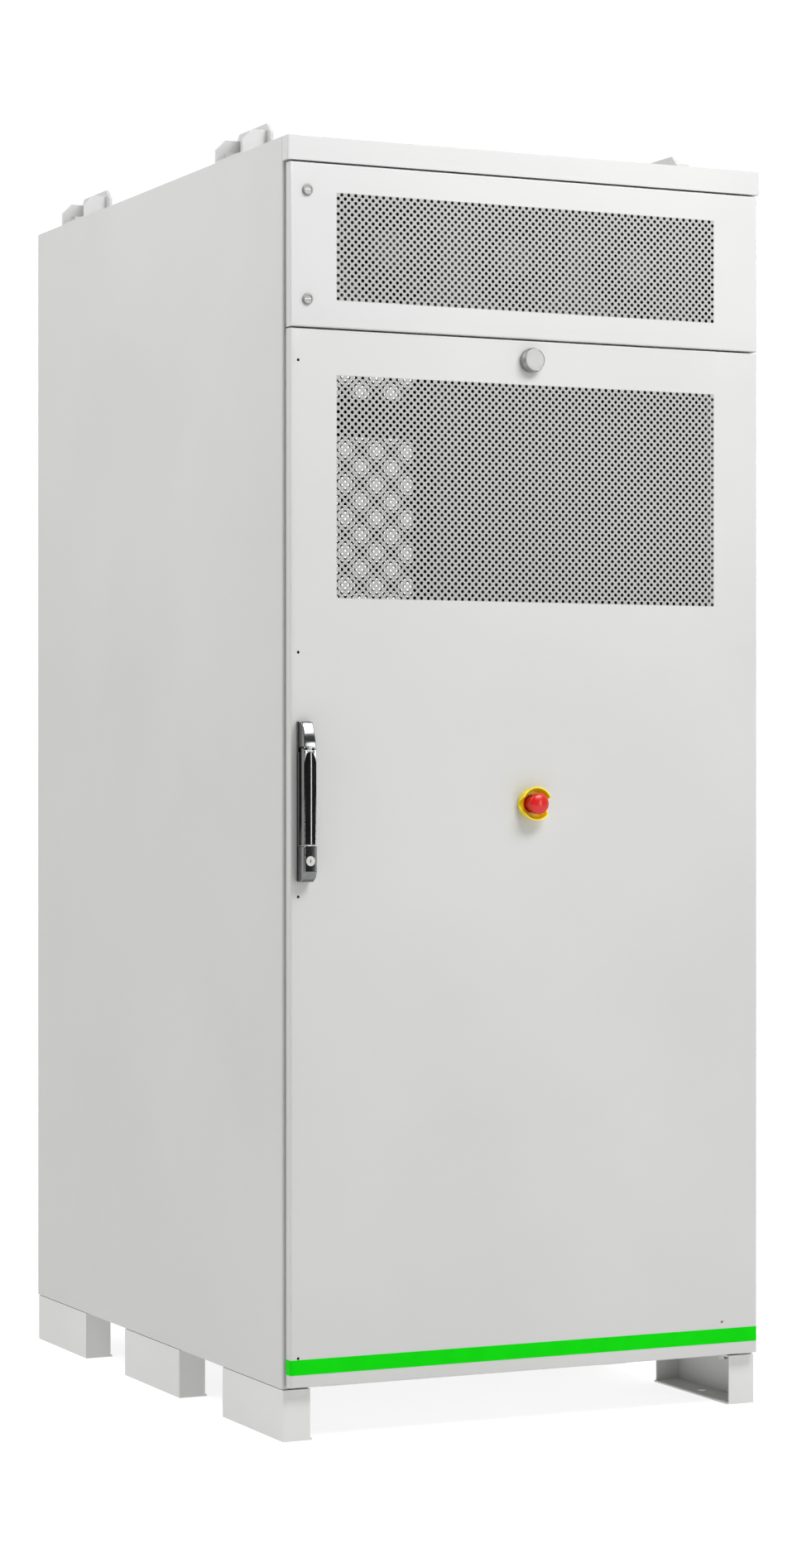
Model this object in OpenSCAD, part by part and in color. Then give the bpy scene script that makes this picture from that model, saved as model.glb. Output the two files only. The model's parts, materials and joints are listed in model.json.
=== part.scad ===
// Free-standing ventilated power cabinet on fork-lift feet.
// A three-phase dry transformer stands inside, with its switchgear in front of it.
// Millimetres. X to the right, Y to the back, Z up. The origin is on the floor,
// at the centre of the four anchor-bolt holes in the corner feet.

/* [Cabinet] */
// Width over the side panels
cabinet_w = 800; // [780:10:840]
// Depth from the door face to the rear panel
cabinet_d = 1100; // [1090:10:1180]
// Height of the roof above the floor
cabinet_h = 1920; // [1900:10:2000]
// Height of the gap under the base, where the forks go
foot_h = 76; // [70:2:90]
// Thickness of the sheet steel
sheet = 2; // [1.5:0.25:2.5]

/* [Doors] */
// Depth of both doors and of the roof lip in front of the cabinet face
door_t = 20; // [18:1:24]
// Width of the line that shows round each door
door_gap = 2.5; // [2:0.25:4]
// Height of the upper vent door
vent_door_h = 242; // [236:1:250]
// Height of the roof lip over the doors
lip_h = 36; // [30:1:40]
// Height of the main door's grille
main_grille_h = 329; // [280:1:340]
// Height of the vent door's grille
vent_grille_h = 159; // [140:1:165]
// Width of all four grilles
grille_w = 640; // [560:2:640]

/* [Handle] */
// Length of the swing handle's escutcheon
handle_l = 236; // [230:1:245]
// Width of the escutcheon
handle_w = 21; // [20:0.5:22]
// Height of the handle's spindle above the floor
spindle_z = 1040; // [1000:5:1060]
// Travel of each latch rod in a quarter turn of the handle
rod_travel = 12; // [8:0.5:12]

/* [Controls] */
// Radius of the emergency-stop button's mushroom head
stop_head_r = 16; // [15:0.5:18]
// Height of the emergency-stop button above the floor
stop_z = 937.5; // [900:0.5:980]
// Radius of the status lamp's bezel
lamp_r = 18.5; // [16:0.5:20]

/* [Fans] */
// Side of a square fan housing
fan_side = 178; // [170:2:180]
// Radius of a fan's bore
fan_bore_r = 82; // [76:1:83]
// Number of blades on a rotor
blade_count = 7; // [5:1:9]

/* [Transformer] */
// Distance from one winding's axis to the next
limb_pitch = 235; // [230:1:240]
// Height of the windings
winding_h = 470; // [400:10:480]
// Outer radius of the high-voltage windings
winding_r = 112; // [104:1:113]

/* [Hidden] */
$fn = 48;
eps = 0.01;
half_w = cabinet_w / 2;
y_door = -cabinet_d / 2;             // front face of the doors and of the roof lip
y_face = y_door + door_t;            // front edge of the side panels
y_back = cabinet_d / 2;
y_door_rear = y_face - door_gap;     // rear plane of both doors
z_base = foot_h + 1;                 // underside of the base frame
z_floor = z_base + 40.5;             // underside of the floor plate
z_stand = z_floor + 2.2;             // where posts and pads stand
door_half_w = half_w - 4.5;
lip_z = cabinet_h - lip_h;
vent_z1 = lip_z - door_gap;
vent_z0 = vent_z1 - vent_door_h;
main_z0 = z_base + 4;
main_z1 = vent_z0 - door_gap;
grille_x = -1.5;                     // centre of the grilles
main_grille_z = main_z1 - 66.5 - main_grille_h / 2;
vent_grille_z = vent_z0 + 41 + vent_grille_h / 2;
rear_main_grille_z0 = main_grille_z - main_grille_h / 2;
rear_main_grille_z1 = vent_z0 - 46.5;
rear_vent_grille_z0 = vent_z0 + 24;
rear_vent_grille_z1 = vent_grille_z + vent_grille_h / 2;
edge_r = 3;                          // rounding of folded outer edges

post = 40;                           // side of a square frame tube
post_x = half_w - 4 - post;          // inner face of the posts
post_front = y_face + 30;            // front face of the front posts
post_back = y_back - 10;             // rear face of the rear posts
post_top = cabinet_h - 40;

hinge_x = half_w - 11;
hinge_y = y_door + 7.5;
hinge_pin_r = 2.5;
hinge_slack = 0.06;
hinge_eye_h = 30;
main_hinge_z = [main_z0 + 170, main_z0 + 780, main_z1 - 160];
vent_hinge_z = [vent_z0 + 60, vent_z1 - 52];
all_hinge_z = concat(main_hinge_z, vent_hinge_z);

handle_x = -half_w + 24.5;
handle_z1 = spindle_z + 20;
handle_z0 = handle_z1 - handle_l;
handle_y = y_door - 28;              // front face of the handle
hub_z0 = spindle_z - 18.5;           // underside of the turning shoulder
lever_top = spindle_z - 19.9;
lever_pin_y = handle_y + 8;          // the pin the lever lifts about
lever_pin_z = spindle_z - 23;
tongue_half = 4;                     // half the width of the shoulder's tongue
tongue_r = 4;
lock_z = handle_z0 + 31;
lock_top = handle_z0 + 53;
crank_r = rod_travel;
crank_y = y_face + 1;                // front face of the crank behind the door
rod_y = y_face + 12;
rod_r = 4;
rod_top = main_z1 - 18;
rod_bottom = z_stand + 1;              // just above the floor plate
guide_z = [main_z0 + 90, main_z0 + 520, spindle_z + 90, main_z1 - 90];

stop_x = 0;
stop_front = y_door - 35;            // crown of the mushroom head
stop_tube_r = 11;                    // fixed tube the button's skirt slides over
stop_shaft_r = 8;
skirt_top = 21.9;                    // off the door, with the button out
lamp_z = main_z1 - 30;
latch_x = -half_w + 31.6;
latch_z = [vent_z0 + 40.6, vent_z0 + 200.9];

fan_z = vent_grille_z + 9;
fan_y = post_front;                  // rear of the fan plate
fan_x = [-210, 0, 210];

core_y = 110;                        // middle of the transformer, front to back
limb_w = 90;
limb_d = 110;
yoke_h = 90;
yoke_z0 = z_stand + 71;
winding_z0 = yoke_z0 + yoke_h + 20;
yoke_z1 = winding_z0 + winding_h + 20;
clamp_y = [core_y - limb_d / 2 - 12.8, core_y + limb_d / 2 + 12.8];

panel_y = post_front + 112;          // front face of the mounting panel
panel_z0 = 560;
panel_z1 = 1200;
breaker_x = -160;
breaker_z = 985;

foot_w = 44;
foot_t = 3;
foot_hole_x = half_w - 26;
foot_hole_y = 415;
foot_spans = [[y_face - 2, y_face + 232], [-118, 124], [y_back - 242, y_back - 4]];
lug_y = [-308, 389];
lug_x = half_w - 51;
lug_t = 5;
eye_r = 10;

// ---- helpers ----

// A block given by its lowest and highest corner
module block(low, high) {
    translate(low) cube(high - low);
}

// A round bar along X, Y or Z, from the point "from" over length "l"
module bar_x(from, l, r) { translate(from) rotate([0, 90, 0]) cylinder(h = l, r = r); }
module bar_y(from, l, r) { translate(from) rotate([-90, 0, 0]) cylinder(h = l, r = r); }
module bar_z(from, l, r) { translate(from) cylinder(h = l, r = r); }

// A copy on each side of the middle plane
module both_sides() {
    children();
    mirror([1, 0, 0]) children();
}

// A square tube along Z, X or Y with a wall of one sheet
module tube(low, high, along) {
    wall = [for (i = [0:2]) i == along ? -1 : sheet];
    difference() {
        block(low, high);
        block(low + wall, high - wall);
    }
}

// A folded door tray: front sheet, four returns and an inner flange
module tray(z0, z1) {
    flange_h = 12;
    left_flange = 9.5;
    right_flange = 20;
    difference() {
        translate([0, 0, z0]) linear_extrude(z1 - z0) {
            translate([-door_half_w, y_door + edge_r])
                square([2 * door_half_w, y_door_rear - y_door - edge_r]);
            translate([-door_half_w + edge_r, y_door])
                square([2 * (door_half_w - edge_r), edge_r + 1]);
            for (side = [-1, 1])
                translate([side * (door_half_w - edge_r), y_door + edge_r]) circle(edge_r);
        }
        block([-door_half_w + sheet, y_door + sheet, z0 + sheet],
            [door_half_w - sheet, y_door_rear - sheet, z1 - sheet]);
        block([-door_half_w + left_flange, y_door + sheet + 1, z0 + flange_h],
            [door_half_w - right_flange, y_door_rear + 1, z1 - flange_h]);
    }
}

// The slot in a tray's right return that lets a hinge bracket through
module hinge_slots(heights) {
    for (z = heights)
        block([hinge_x - 6, y_door + sheet, z - hinge_eye_h / 2 - 15],
            [half_w + 1, y_face, z + hinge_eye_h / 2 + 15]);
}

// Two knuckles per hinge, above and below the bracket's eye
module knuckles(heights) {
    for (z = heights, side = [-1, 1])
        difference() {
            mid = z + side * (hinge_eye_h / 2 + 6.5);
            block([hinge_x - 5, y_door + 1, mid - 6], [hinge_x + 4.4, hinge_y + 4.5, mid + 6]);
            bar_z([hinge_x, hinge_y, mid - 7], 14, hinge_pin_r + hinge_slack);
        }
}

// A grille insert, flush with the outside of its panel
module grille_plate(y0, z0, z1) {
    block([grille_x - grille_w / 2 + eps, y0, z0 + eps],
        [grille_x + grille_w / 2 - eps, y0 + sheet - 0.5, z1 - eps]);
}

module grille_window(y0, z0, z1) {
    block([grille_x - grille_w / 2, y0, z0], [grille_x + grille_w / 2, y0 + sheet + 2, z1]);
}

// ---- feet and base ----

// A sheet-steel foot: outer web, two ends, top and bottom flange, open inwards
module foot(span, drilled) {
    flange_w = foot_w + 3;
    difference() {
        union() {
            block([half_w - foot_w, span[0], 0], [half_w, span[1], foot_h]);
            block([half_w - flange_w, span[0], 0], [half_w - foot_w + 1, span[1], foot_t]);
        }
        block([half_w - foot_w - 1, span[0] + foot_t, foot_t],
            [half_w - foot_t, span[1] - foot_t, foot_h - foot_t]);
        if (drilled)
            bar_z([foot_hole_x, foot_hole_y * sign(span[0] + span[1]), -1], foot_t + 2, 7);
    }
}

module front_feet() { color("gainsboro") both_sides() foot(foot_spans[0], true); }
module middle_feet() { color("gainsboro") both_sides() foot(foot_spans[1], false); }
module rear_feet() { color("gainsboro") both_sides() foot(foot_spans[2], true); }

// The head and washer of a hexagon bolt, standing on the face at z = 0
module bolt_head() {
    cylinder(h = 2, r = 11);
    translate([0, 0, 2]) cylinder(h = 7.5, r = 9.8, $fn = 6);
}

// Two bolts under the top flange of each foot and two on each lifting lug
module frame_bolts() {
    color("silver") both_sides() {
        for (span = foot_spans, y = [span[0] + 50, span[1] - 50])
            translate([half_w - 24, y, foot_h - foot_t]) rotate([180, 0, 0]) bolt_head();
        for (y = lug_y, step = [-30, 30])
            translate([lug_x + 27, y + step, cabinet_h + lug_t]) bolt_head();
    }
}

module base_side_rails() {
    color("lightgrey") both_sides()
        tube([post_x - 18, y_face + 2.3, z_base], [half_w - 2.5, y_back - 6, z_floor - 0.2], 1);
}

module base_cross_rails() {
    color("lightgrey") for (y = [y_face, core_y - 20, y_back - 46])
        tube([-post_x + 18.3, y, z_base], [post_x - 18.3, y + 40, z_floor - 0.2], 0);
}

module floor_plate() {
    color("lightgrey") difference() {
        block([-half_w + 4, y_face + 4, z_floor], [half_w - 4, y_back - 9, z_floor + sheet]);
        block([-250, post_front + 30, z_floor - 1], [250, post_front + 170, z_floor + 3]);
    }
}

// A blank plate over the cable opening, drilled on site for the cable glands
module gland_plate() {
    color("silver") {
        block([-270, post_front + 10, z_stand], [270, post_front + 190, z_stand + 2]);
        for (x = [-260, 0, 260], y = [post_front + 20, post_front + 180])
            bar_z([x, y, z_stand + 2], 3, 5);
    }
}

// ---- frame ----

module corner_posts() {
    color("silver") both_sides() for (y = [post_front, post_back - post])
        tube([post_x, y, z_stand], [post_x + post, y + post, post_top], 2);
}

module top_side_rails() {
    color("silver") both_sides()
        tube([post_x, post_front, post_top + 0.3], [post_x + post, post_back, cabinet_h - 3], 1);
}

module top_cross_rails() {
    color("silver") for (y = [post_front, post_back - post])
        tube([-post_x + 0.3, y, post_top + 0.3], [post_x - 0.3, y + post, cabinet_h - 3], 0);
}

// The rail behind the line between the two doors
module door_cross_rail() {
    color("lightgrey")
        tube([-half_w + 15, y_face, vent_z0 - 17], [half_w - 27, y_face + 28, vent_z0 + 17], 0);
}

// ---- covers ----

// A side panel with front and rear return flanges and a rounded front edge
module side_panel(flange_w) {
    translate([0, 0, z_base]) linear_extrude(cabinet_h - sheet - 0.3 - z_base)
        translate([half_w - flange_w, y_face]) square([flange_w - edge_r, sheet]);
    translate([0, 0, z_base]) linear_extrude(cabinet_h - z_base) {
        translate([half_w - sheet, y_face + edge_r]) square([sheet, y_back - y_face - edge_r]);
        intersection() {
            translate([half_w - edge_r, y_face + edge_r]) difference() {
                circle(edge_r);
                circle(edge_r - sheet);
            }
            translate([half_w - edge_r, y_face]) square(edge_r);
        }
    }
    block([half_w - 16, y_back - 5, z_base], [half_w - sheet + eps, y_back - 3, cabinet_h - 4]);
}

module left_side_panel() { color("gainsboro") mirror([1, 0, 0]) side_panel(9); }

module right_side_panel() {
    color("gainsboro") difference() {
        side_panel(26);
        for (z = all_hinge_z)
            block([hinge_x - 3.5, y_face - 1, z - hinge_eye_h / 2 - 1],
                [hinge_x + 3.5, y_face + 3, z + hinge_eye_h / 2 + 1]);
    }
}

// The roof sheet between the side panels, folded down at the front into the lip
module roof_cap() {
    color("whitesmoke") {
        block([-half_w + sheet + 0.3, y_face + edge_r + 0.3, cabinet_h - sheet],
            [half_w - sheet - 0.3, y_back - sheet - 0.6, cabinet_h]);
        difference() {
            translate([0, 0, lip_z]) linear_extrude(lip_h) {
                translate([-half_w, y_door + edge_r]) square([cabinet_w, door_t - edge_r - 0.3]);
                translate([-half_w + edge_r, y_door]) square([cabinet_w - 2 * edge_r, edge_r + 1]);
                for (side = [-1, 1])
                    translate([side * (half_w - edge_r), y_door + edge_r]) circle(edge_r);
            }
            block([-half_w + sheet, y_door + sheet, lip_z + sheet],
                [half_w - sheet, y_face + 1, cabinet_h - sheet]);
        }
        block([-half_w + edge_r + 0.3, y_face - 1, cabinet_h - sheet],
            [half_w - edge_r - 0.3, y_face + edge_r + 1, cabinet_h]);
    }
}

module rear_panel() {
    color("gainsboro") difference() {
        block([-half_w + sheet + 0.4, y_back - sheet, z_base],
            [half_w - sheet - 0.4, y_back, cabinet_h]);
        grille_window(y_back - sheet - 1, rear_main_grille_z0, rear_main_grille_z1);
        grille_window(y_back - sheet - 1, rear_vent_grille_z0, rear_vent_grille_z1);
    }
}

module rear_grilles() {
    color("darkgrey") {
        grille_plate(y_back - sheet + 0.5, rear_main_grille_z0, rear_main_grille_z1);
        grille_plate(y_back - sheet + 0.5, rear_vent_grille_z0, rear_vent_grille_z1);
    }
}

// ---- lifting lugs ----

// A folded lug: base flange, web with an eye, and two stiffening ears
module lug(y) {
    lug_l = 140;
    lug_h = 50;
    ear_offset = 56;
    ear_w = 45;
    ear_h = 39;
    cut = 16;
    translate([lug_x, y, cabinet_h]) {
        difference() {
            rotate([90, 0, 90]) linear_extrude(lug_t)
                polygon([[-lug_l / 2, 0], [lug_l / 2, 0], [lug_l / 2, lug_h - cut],
                    [lug_l / 2 - cut, lug_h], [cut - lug_l / 2, lug_h], [-lug_l / 2, lug_h - cut]]);
            bar_x([-1, 0, 30], lug_t + 2, eye_r);
        }
        for (end = [-ear_offset, ear_offset - lug_t])
            translate([0, end + lug_t, 0]) rotate([90, 0, 0]) linear_extrude(lug_t)
                polygon([[lug_t - eps, 0], [ear_w, 0], [ear_w, ear_h - cut],
                    [ear_w - cut, ear_h], [lug_t - eps, ear_h]]);
        block([0, -ear_offset, 0], [ear_w, ear_offset, lug_t]);
    }
}

module lifting_lugs() { color("gainsboro") both_sides() for (y = lug_y) lug(y); }

// ---- door hinges ----

module hinge_brackets() {
    color("silver") for (z = all_hinge_z) difference() {
        union() {
            bar_z([hinge_x, hinge_y, z - hinge_eye_h / 2], hinge_eye_h, 4.2);
            block([hinge_x - 2.5, hinge_y, z - hinge_eye_h / 2],
                [hinge_x + 2.5, y_face + 3, z + hinge_eye_h / 2]);
            block([half_w - 28, y_face + 2.5, z - hinge_eye_h / 2 - 10],
                [half_w - 3, y_face + 6.5, z + hinge_eye_h / 2 + 10]);
        }
        bar_z([hinge_x, hinge_y, z - hinge_eye_h], 2 * hinge_eye_h, hinge_pin_r);
    }
}

module hinge_pins() {
    color("silver") for (z = all_hinge_z)
        bar_z([hinge_x, hinge_y, z - hinge_eye_h / 2 - 14], hinge_eye_h + 28, hinge_pin_r);
}

// ---- transformer ----

module core_yokes() {
    color("dimgrey") for (z = [yoke_z0, yoke_z1])
        block([-limb_pitch - limb_w / 2, core_y - limb_d / 2, z],
            [limb_pitch + limb_w / 2, core_y + limb_d / 2, z + yoke_h]);
}

module core_limbs() {
    color("dimgrey") for (i = [-1:1])
        block([i * limb_pitch - limb_w / 2, core_y - limb_d / 2, yoke_z0 + yoke_h],
            [i * limb_pitch + limb_w / 2, core_y + limb_d / 2, yoke_z1]);
}

// One ring-shaped winding round each limb
module windings(inner_r, outer_r, inset) {
    for (i = [-1:1]) difference() {
        bar_z([i * limb_pitch, core_y, winding_z0 + inset], winding_h - 2 * inset, outer_r);
        bar_z([i * limb_pitch, core_y, winding_z0 - 1], winding_h + 2, inner_r);
    }
}

module low_voltage_windings() { color("peru") windings(74, 88, 0); }
module high_voltage_windings() { color("firebrick") windings(92, winding_r, 20); }

// Beams that squeeze the yokes, and upright rods that tie the upper pair to the lower pair
module core_clamps() {
    clamp_h = yoke_h - 10;
    rod_z0 = yoke_z0 + yoke_h - 5;
    color("slategrey") for (y = clamp_y) {
        for (z = [yoke_z0 + 5, yoke_z1 + 5])
            block([-limb_pitch - 85, y - 12.5, z], [limb_pitch + 85, y + 12.5, z + clamp_h]);
        for (x = [-limb_pitch / 2, limb_pitch / 2])
            bar_z([x, y, rod_z0 - eps], yoke_z1 + 5 - rod_z0 + 2 * eps, 6);
    }
}

// Rubber feet under channel shoes
module vibration_pads() {
    color("black") for (x = [-limb_pitch, limb_pitch], y = clamp_y)
        translate([x, y, z_stand]) {
            cylinder(h = 50, r = 28);
            translate([0, 0, 50]) cylinder(h = yoke_z0 + 5 - z_stand - 50, r = 12.4);
        }
}

// Three angled bars from the windings to the mounting panel
module busbars() {
    bar_t = 6;
    bar_w = 30;
    y0 = core_y - winding_r - 8;
    color("chocolate") for (i = [-1:1]) {
        x = i * limb_pitch;
        top = yoke_z1 + yoke_h + 20 + 30 * (i + 1);
        block([x - bar_w / 2, y0 - bar_t, winding_z0 + winding_h - 60],
            [x + bar_w / 2, y0, top]);
        block([x - bar_w / 2, panel_y + 3.3, top - bar_t], [x + bar_w / 2, y0, top]);
    }
}

// ---- switchgear ----

// The plate that carries the switchgear, with four folded arms to the front posts
module mounting_panel() {
    color("silver") {
        block([-350, panel_y, panel_z0], [350, panel_y + 2.5, panel_z1]);
        both_sides() for (z = [panel_z0 + 30, panel_z1 - 60]) {
            block([post_x - 4, post_front + 5, z], [post_x - 0.2, panel_y + 6.5, z + 30]);
            block([post_x - 36, panel_y + 2.5, z], [post_x - 0.2, panel_y + 6.5, z + 30]);
        }
    }
}

module breaker_case() {
    case_w = 140;
    case_h = 210;
    case_d = 80;
    color("darkslategrey") difference() {
        union() {
            block([breaker_x - case_w / 2, panel_y - case_d, breaker_z - case_h / 2],
                [breaker_x + case_w / 2, panel_y - 0.2, breaker_z + case_h / 2]);
            block([breaker_x - 30, panel_y - case_d - 12, breaker_z - 45],
                [breaker_x + 30, panel_y - case_d + 1, breaker_z + 45]);
        }
        block([breaker_x - 12, panel_y - case_d - 13, breaker_z - 28],
            [breaker_x + 12, panel_y - case_d + 10, breaker_z + 28]);
        bar_x([breaker_x - 20, panel_y - case_d - 2, breaker_z], 40, 3.06);
    }
}

// The toggle stands at OFF, tipped down; ON is up
module breaker_toggle() {
    color("black") translate([breaker_x, panel_y - 82, breaker_z]) {
        bar_x([-19, 0, 0], 38, 3);
        rotate([25, 0, 0]) block([-9, -28, -4], [9, 2, 4]);
        bar_x([-9, 0, 0], 18, 7);
    }
}

module terminal_blocks() {
    block_w = 12;
    count = 14;
    color("lightslategrey") {
        block([40, panel_y - 7.5, 745], [250, panel_y - 0.2, 780]);
        for (i = [0:count - 1])
            difference() {
                x = 60 + i * (block_w + 0.6);
                block([x, panel_y - 47, 735], [x + block_w, panel_y - 7.7, 790]);
                for (z = [745, 780]) bar_y([x + block_w / 2, panel_y - 48, z], 8, 3.5);
            }
    }
}

module earth_bar() {
    color("goldenrod") difference() {
        block([-280, panel_y - 26, 600], [280, panel_y - 20, 630]);
        for (i = [-6:6]) bar_y([i * 40, panel_y - 30, 615], 14, 4.5);
    }
    color("goldenrod") for (x = [-260, 220])
        block([x, panel_y - 20, 603], [x + 40, panel_y - 0.2, 608]);
}

// ---- fans ----

module fan_plate() {
    color("dimgrey") difference() {
        block([-half_w + 22, fan_y - 2.2, vent_z0 + 22], [half_w - 30, fan_y - 0.2, vent_z1 - 4]);
        for (x = fan_x) bar_y([x, fan_y - 5, fan_z], 8, fan_bore_r);
    }
}

// Square housings with a round bore, and a motor carried by four arms at the rear
module fan_housings() {
    depth = 51;
    color("black") for (x = fan_x) {
        difference() {
            block([x - fan_side / 2, fan_y, fan_z - fan_side / 2],
                [x + fan_side / 2, fan_y + depth, fan_z + fan_side / 2]);
            bar_y([x, fan_y - 1, fan_z], depth + 2, fan_bore_r);
        }
        bar_y([x, fan_y + depth - 14, fan_z], 14, 32);
        for (turn = [45:90:315])
            translate([x, 0, fan_z]) rotate([0, turn, 0])
                block([30, fan_y + depth - 6, -4], [fan_bore_r + 1, fan_y + depth, 4]);
    }
}

// Hub with pitched blades, turning on the motor's stub
module fan_rotor(x) {
    hub_r = 34;
    translate([x, fan_y + 20, fan_z]) {
        rotate([90, 0, 0]) cylinder(h = 32, r = hub_r, center = true);
        intersection() {
            rotate([90, 0, 0]) cylinder(h = 36, r = fan_bore_r - 3, center = true);
            for (i = [0:blade_count - 1]) rotate([0, i * 360 / blade_count, 0])
                translate([hub_r - 4, 0, 0]) rotate([38, 0, 0])
                    block([0, -1.5, -19], [fan_bore_r - hub_r + 6, 1.5, 19]);
        }
    }
}

module fan_rotor_left() { color("black") fan_rotor(fan_x[0]); }
module fan_rotor_middle() { color("black") fan_rotor(fan_x[1]); }
module fan_rotor_right() { color("black") fan_rotor(fan_x[2]); }

// ---- main door ----

module main_door_skin() {
    color("gainsboro") difference() {
        union() {
            difference() {
                tray(main_z0, main_z1);
                hinge_slots(main_hinge_z);
            }
            knuckles(main_hinge_z);
        }
        grille_window(y_door - 1, main_grille_z - main_grille_h / 2, main_grille_z + main_grille_h / 2);
        bar_y([handle_x, y_door - 1, spindle_z], 5, 7);
        bar_y([handle_x, y_door - 1, lock_z], 5, 8);
        bar_y([stop_x, y_door - 1, stop_z], 5, 11.2);
        bar_y([0, y_door - 1, lamp_z], 5, 11.2);
        for (z = [main_z1 - 47, main_z0 + 1080, main_z0 + 721, main_z0 + 43.5])
            bar_y([-half_w + 16.9, y_door - 1, z], 5, 2);
        bar_y([half_w - 67.3, y_door - 1, main_z0 + 51.5], 5, 2);
    }
}

module main_door_grille() {
    color("darkgrey")
        grille_plate(y_door, main_grille_z - main_grille_h / 2, main_grille_z + main_grille_h / 2);
}

// Two upright channels that stiffen the door either side of the grille
module door_stiffeners() {
    color("lightgrey") both_sides()
        tube([327, y_door + sheet + 0.1, main_z0 + 16], [349, y_face - 6, main_z1 - 16], 2);
}

// A rubber seal on the inner flange of a door
module gasket(z0, z1) {
    strip = 5;
    color("black") difference() {
        block([-door_half_w + 1, y_door_rear, z0 + 6], [hinge_x - 7, y_face - 0.3, z1 - 6]);
        block([-door_half_w + 1 + strip, y_door_rear - 1, z0 + 6 + strip],
            [hinge_x - 7 - strip, y_face + 1, z1 - 6 - strip]);
    }
}

module main_door_gasket() { gasket(main_z0, main_z1); }

// Bored blocks on the door that the latch rods slide in
module rod_guides() {
    color("black") for (z = guide_z) difference() {
        block([handle_x - 10, y_door + sheet, z - 8], [handle_x + 10, rod_y + 10, z + 8]);
        bar_z([handle_x, rod_y, z - 9], 18, rod_r + hinge_slack);
    }
}

// A band of green film round the door's lower edge
module door_stripe() {
    film = 0.3;
    band_h = 22.5;
    z = main_z0 + 18.7;
    color("lime") {
        block([-door_half_w + edge_r, y_door - film, z],
            [door_half_w - edge_r, y_door, z + band_h]);
        both_sides() {
            block([door_half_w, y_door + edge_r, z],
                [door_half_w + film, y_door_rear - 1, z + band_h]);
            translate([door_half_w - edge_r, y_door + edge_r, z]) difference() {
                cylinder(h = band_h, r = edge_r + film);
                translate([0, 0, -1]) cylinder(h = band_h + 2, r = edge_r);
                block([-5, -5, -1], [0, 5, band_h + 1]);
                block([-5, 0, -1], [5, 5, band_h + 1]);
            }
        }
    }
}

// ---- status lamp ----

module lamp_body() {
    lens_r = lamp_r - 3;
    color("darkgrey") difference() {
        union() {
            translate([0, y_door - 15, lamp_z]) rotate([-90, 0, 0]) rotate_extrude()
                polygon([[0, 0], [lens_r + 0.6, 0], [lamp_r, 3], [lamp_r, 15], [0, 15]]);
            bar_y([0, y_door - 1, lamp_z], 34, 11);
        }
        bar_y([0, y_door - 16, lamp_z], 5, lens_r);
    }
}

module lamp_lens() {
    color("grey") bar_y([0, y_door - 14.8, lamp_z], 3.8, lamp_r - 3.1);
}

// ---- emergency stop ----

// Yellow guard cup, flared to the front, with a deep notch at each side for the fingers.
// The notches sit a little low, so the upper lobe is the longer one.
module stop_guard() {
    base_r = 22;
    mouth_r = 25.6;
    wall = 2.4;
    depth = 22;
    floor_t = 3;
    notch_floor = 5;
    notch_foot = [-4, 3];
    notch_mouth = [-17.5, 10];
    color("gold") translate([stop_x, y_door, stop_z]) rotate([90, 0, 0]) difference() {
        cylinder(h = depth, r1 = base_r, r2 = mouth_r);
        translate([0, 0, floor_t]) cylinder(h = depth, r1 = base_r - wall, r2 = mouth_r - wall + 0.4);
        translate([0, 0, -1]) cylinder(h = floor_t + 3, r = stop_tube_r + 0.1);
        for (side = [-1, 1]) translate([side * mouth_r, 0, 0]) rotate([90, 0, 90])
            linear_extrude(18, center = true)
                polygon([[notch_foot[0], notch_floor], [notch_foot[1], notch_floor],
                    [notch_mouth[1], depth + 1], [notch_mouth[0], depth + 1]]);
    }
}

// Contact block behind the door, with a flange on the guard and a tube the button's skirt slides over
module stop_body() {
    flange_z = 3.1;
    flange_t = 1.2;
    tube_top = 9;
    depth = 40;
    bore_depth = 24;
    color("black") translate([stop_x, y_door, stop_z]) rotate([90, 0, 0]) difference() {
        union() {
            translate([0, 0, flange_z]) cylinder(h = flange_t, r = 14);
            translate([0, 0, -depth]) cylinder(h = depth + tube_top, r = stop_tube_r);
            block([-15, -20, -54], [15, 20, -22]);
        }
        translate([0, 0, -bore_depth])
            cylinder(h = bore_depth + tube_top + 1, r = stop_shaft_r + hinge_slack);
    }
}

// The red stem: a shaft in the body's bore, a hollow skirt round its tube and a pin for the head
module stop_plunger() {
    skirt_z = 9.8;
    skirt_roof = 14.6;
    shaft_end = -14;
    color("firebrick") translate([stop_x, y_door, stop_z]) rotate([90, 0, 0]) {
        translate([0, 0, shaft_end]) cylinder(h = 16 - shaft_end, r = stop_shaft_r);
        difference() {
            translate([0, 0, skirt_z]) cylinder(h = skirt_top - skirt_z, r = 12.5);
            translate([0, 0, skirt_z - 1])
                cylinder(h = skirt_roof - skirt_z + 1, r = stop_tube_r + 0.35);
        }
        translate([0, 0, skirt_top - 0.1]) cylinder(h = 6, r = 5);
    }
}

// Mushroom head with a domed crown, bored for the plunger's pin
module stop_head() {
    rim = skirt_top + 0.4;
    crown = y_door - stop_front;
    rise = 5;
    dome_r = (stop_head_r * stop_head_r + rise * rise) / (2 * rise);
    color("red") translate([stop_x, y_door, stop_z]) rotate([90, 0, 0]) difference() {
        union() {
            translate([0, 0, rim]) cylinder(h = crown - rise - rim, r = stop_head_r);
            intersection() {
                translate([0, 0, crown - dome_r]) sphere(dome_r, $fn = 96);
                translate([0, 0, crown - rise - 0.2]) cylinder(h = rise + 1, r = stop_head_r);
            }
        }
        translate([0, 0, rim - 1]) cylinder(h = 7, r = 5.06);
    }
}

// ---- swing handle ----

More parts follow.
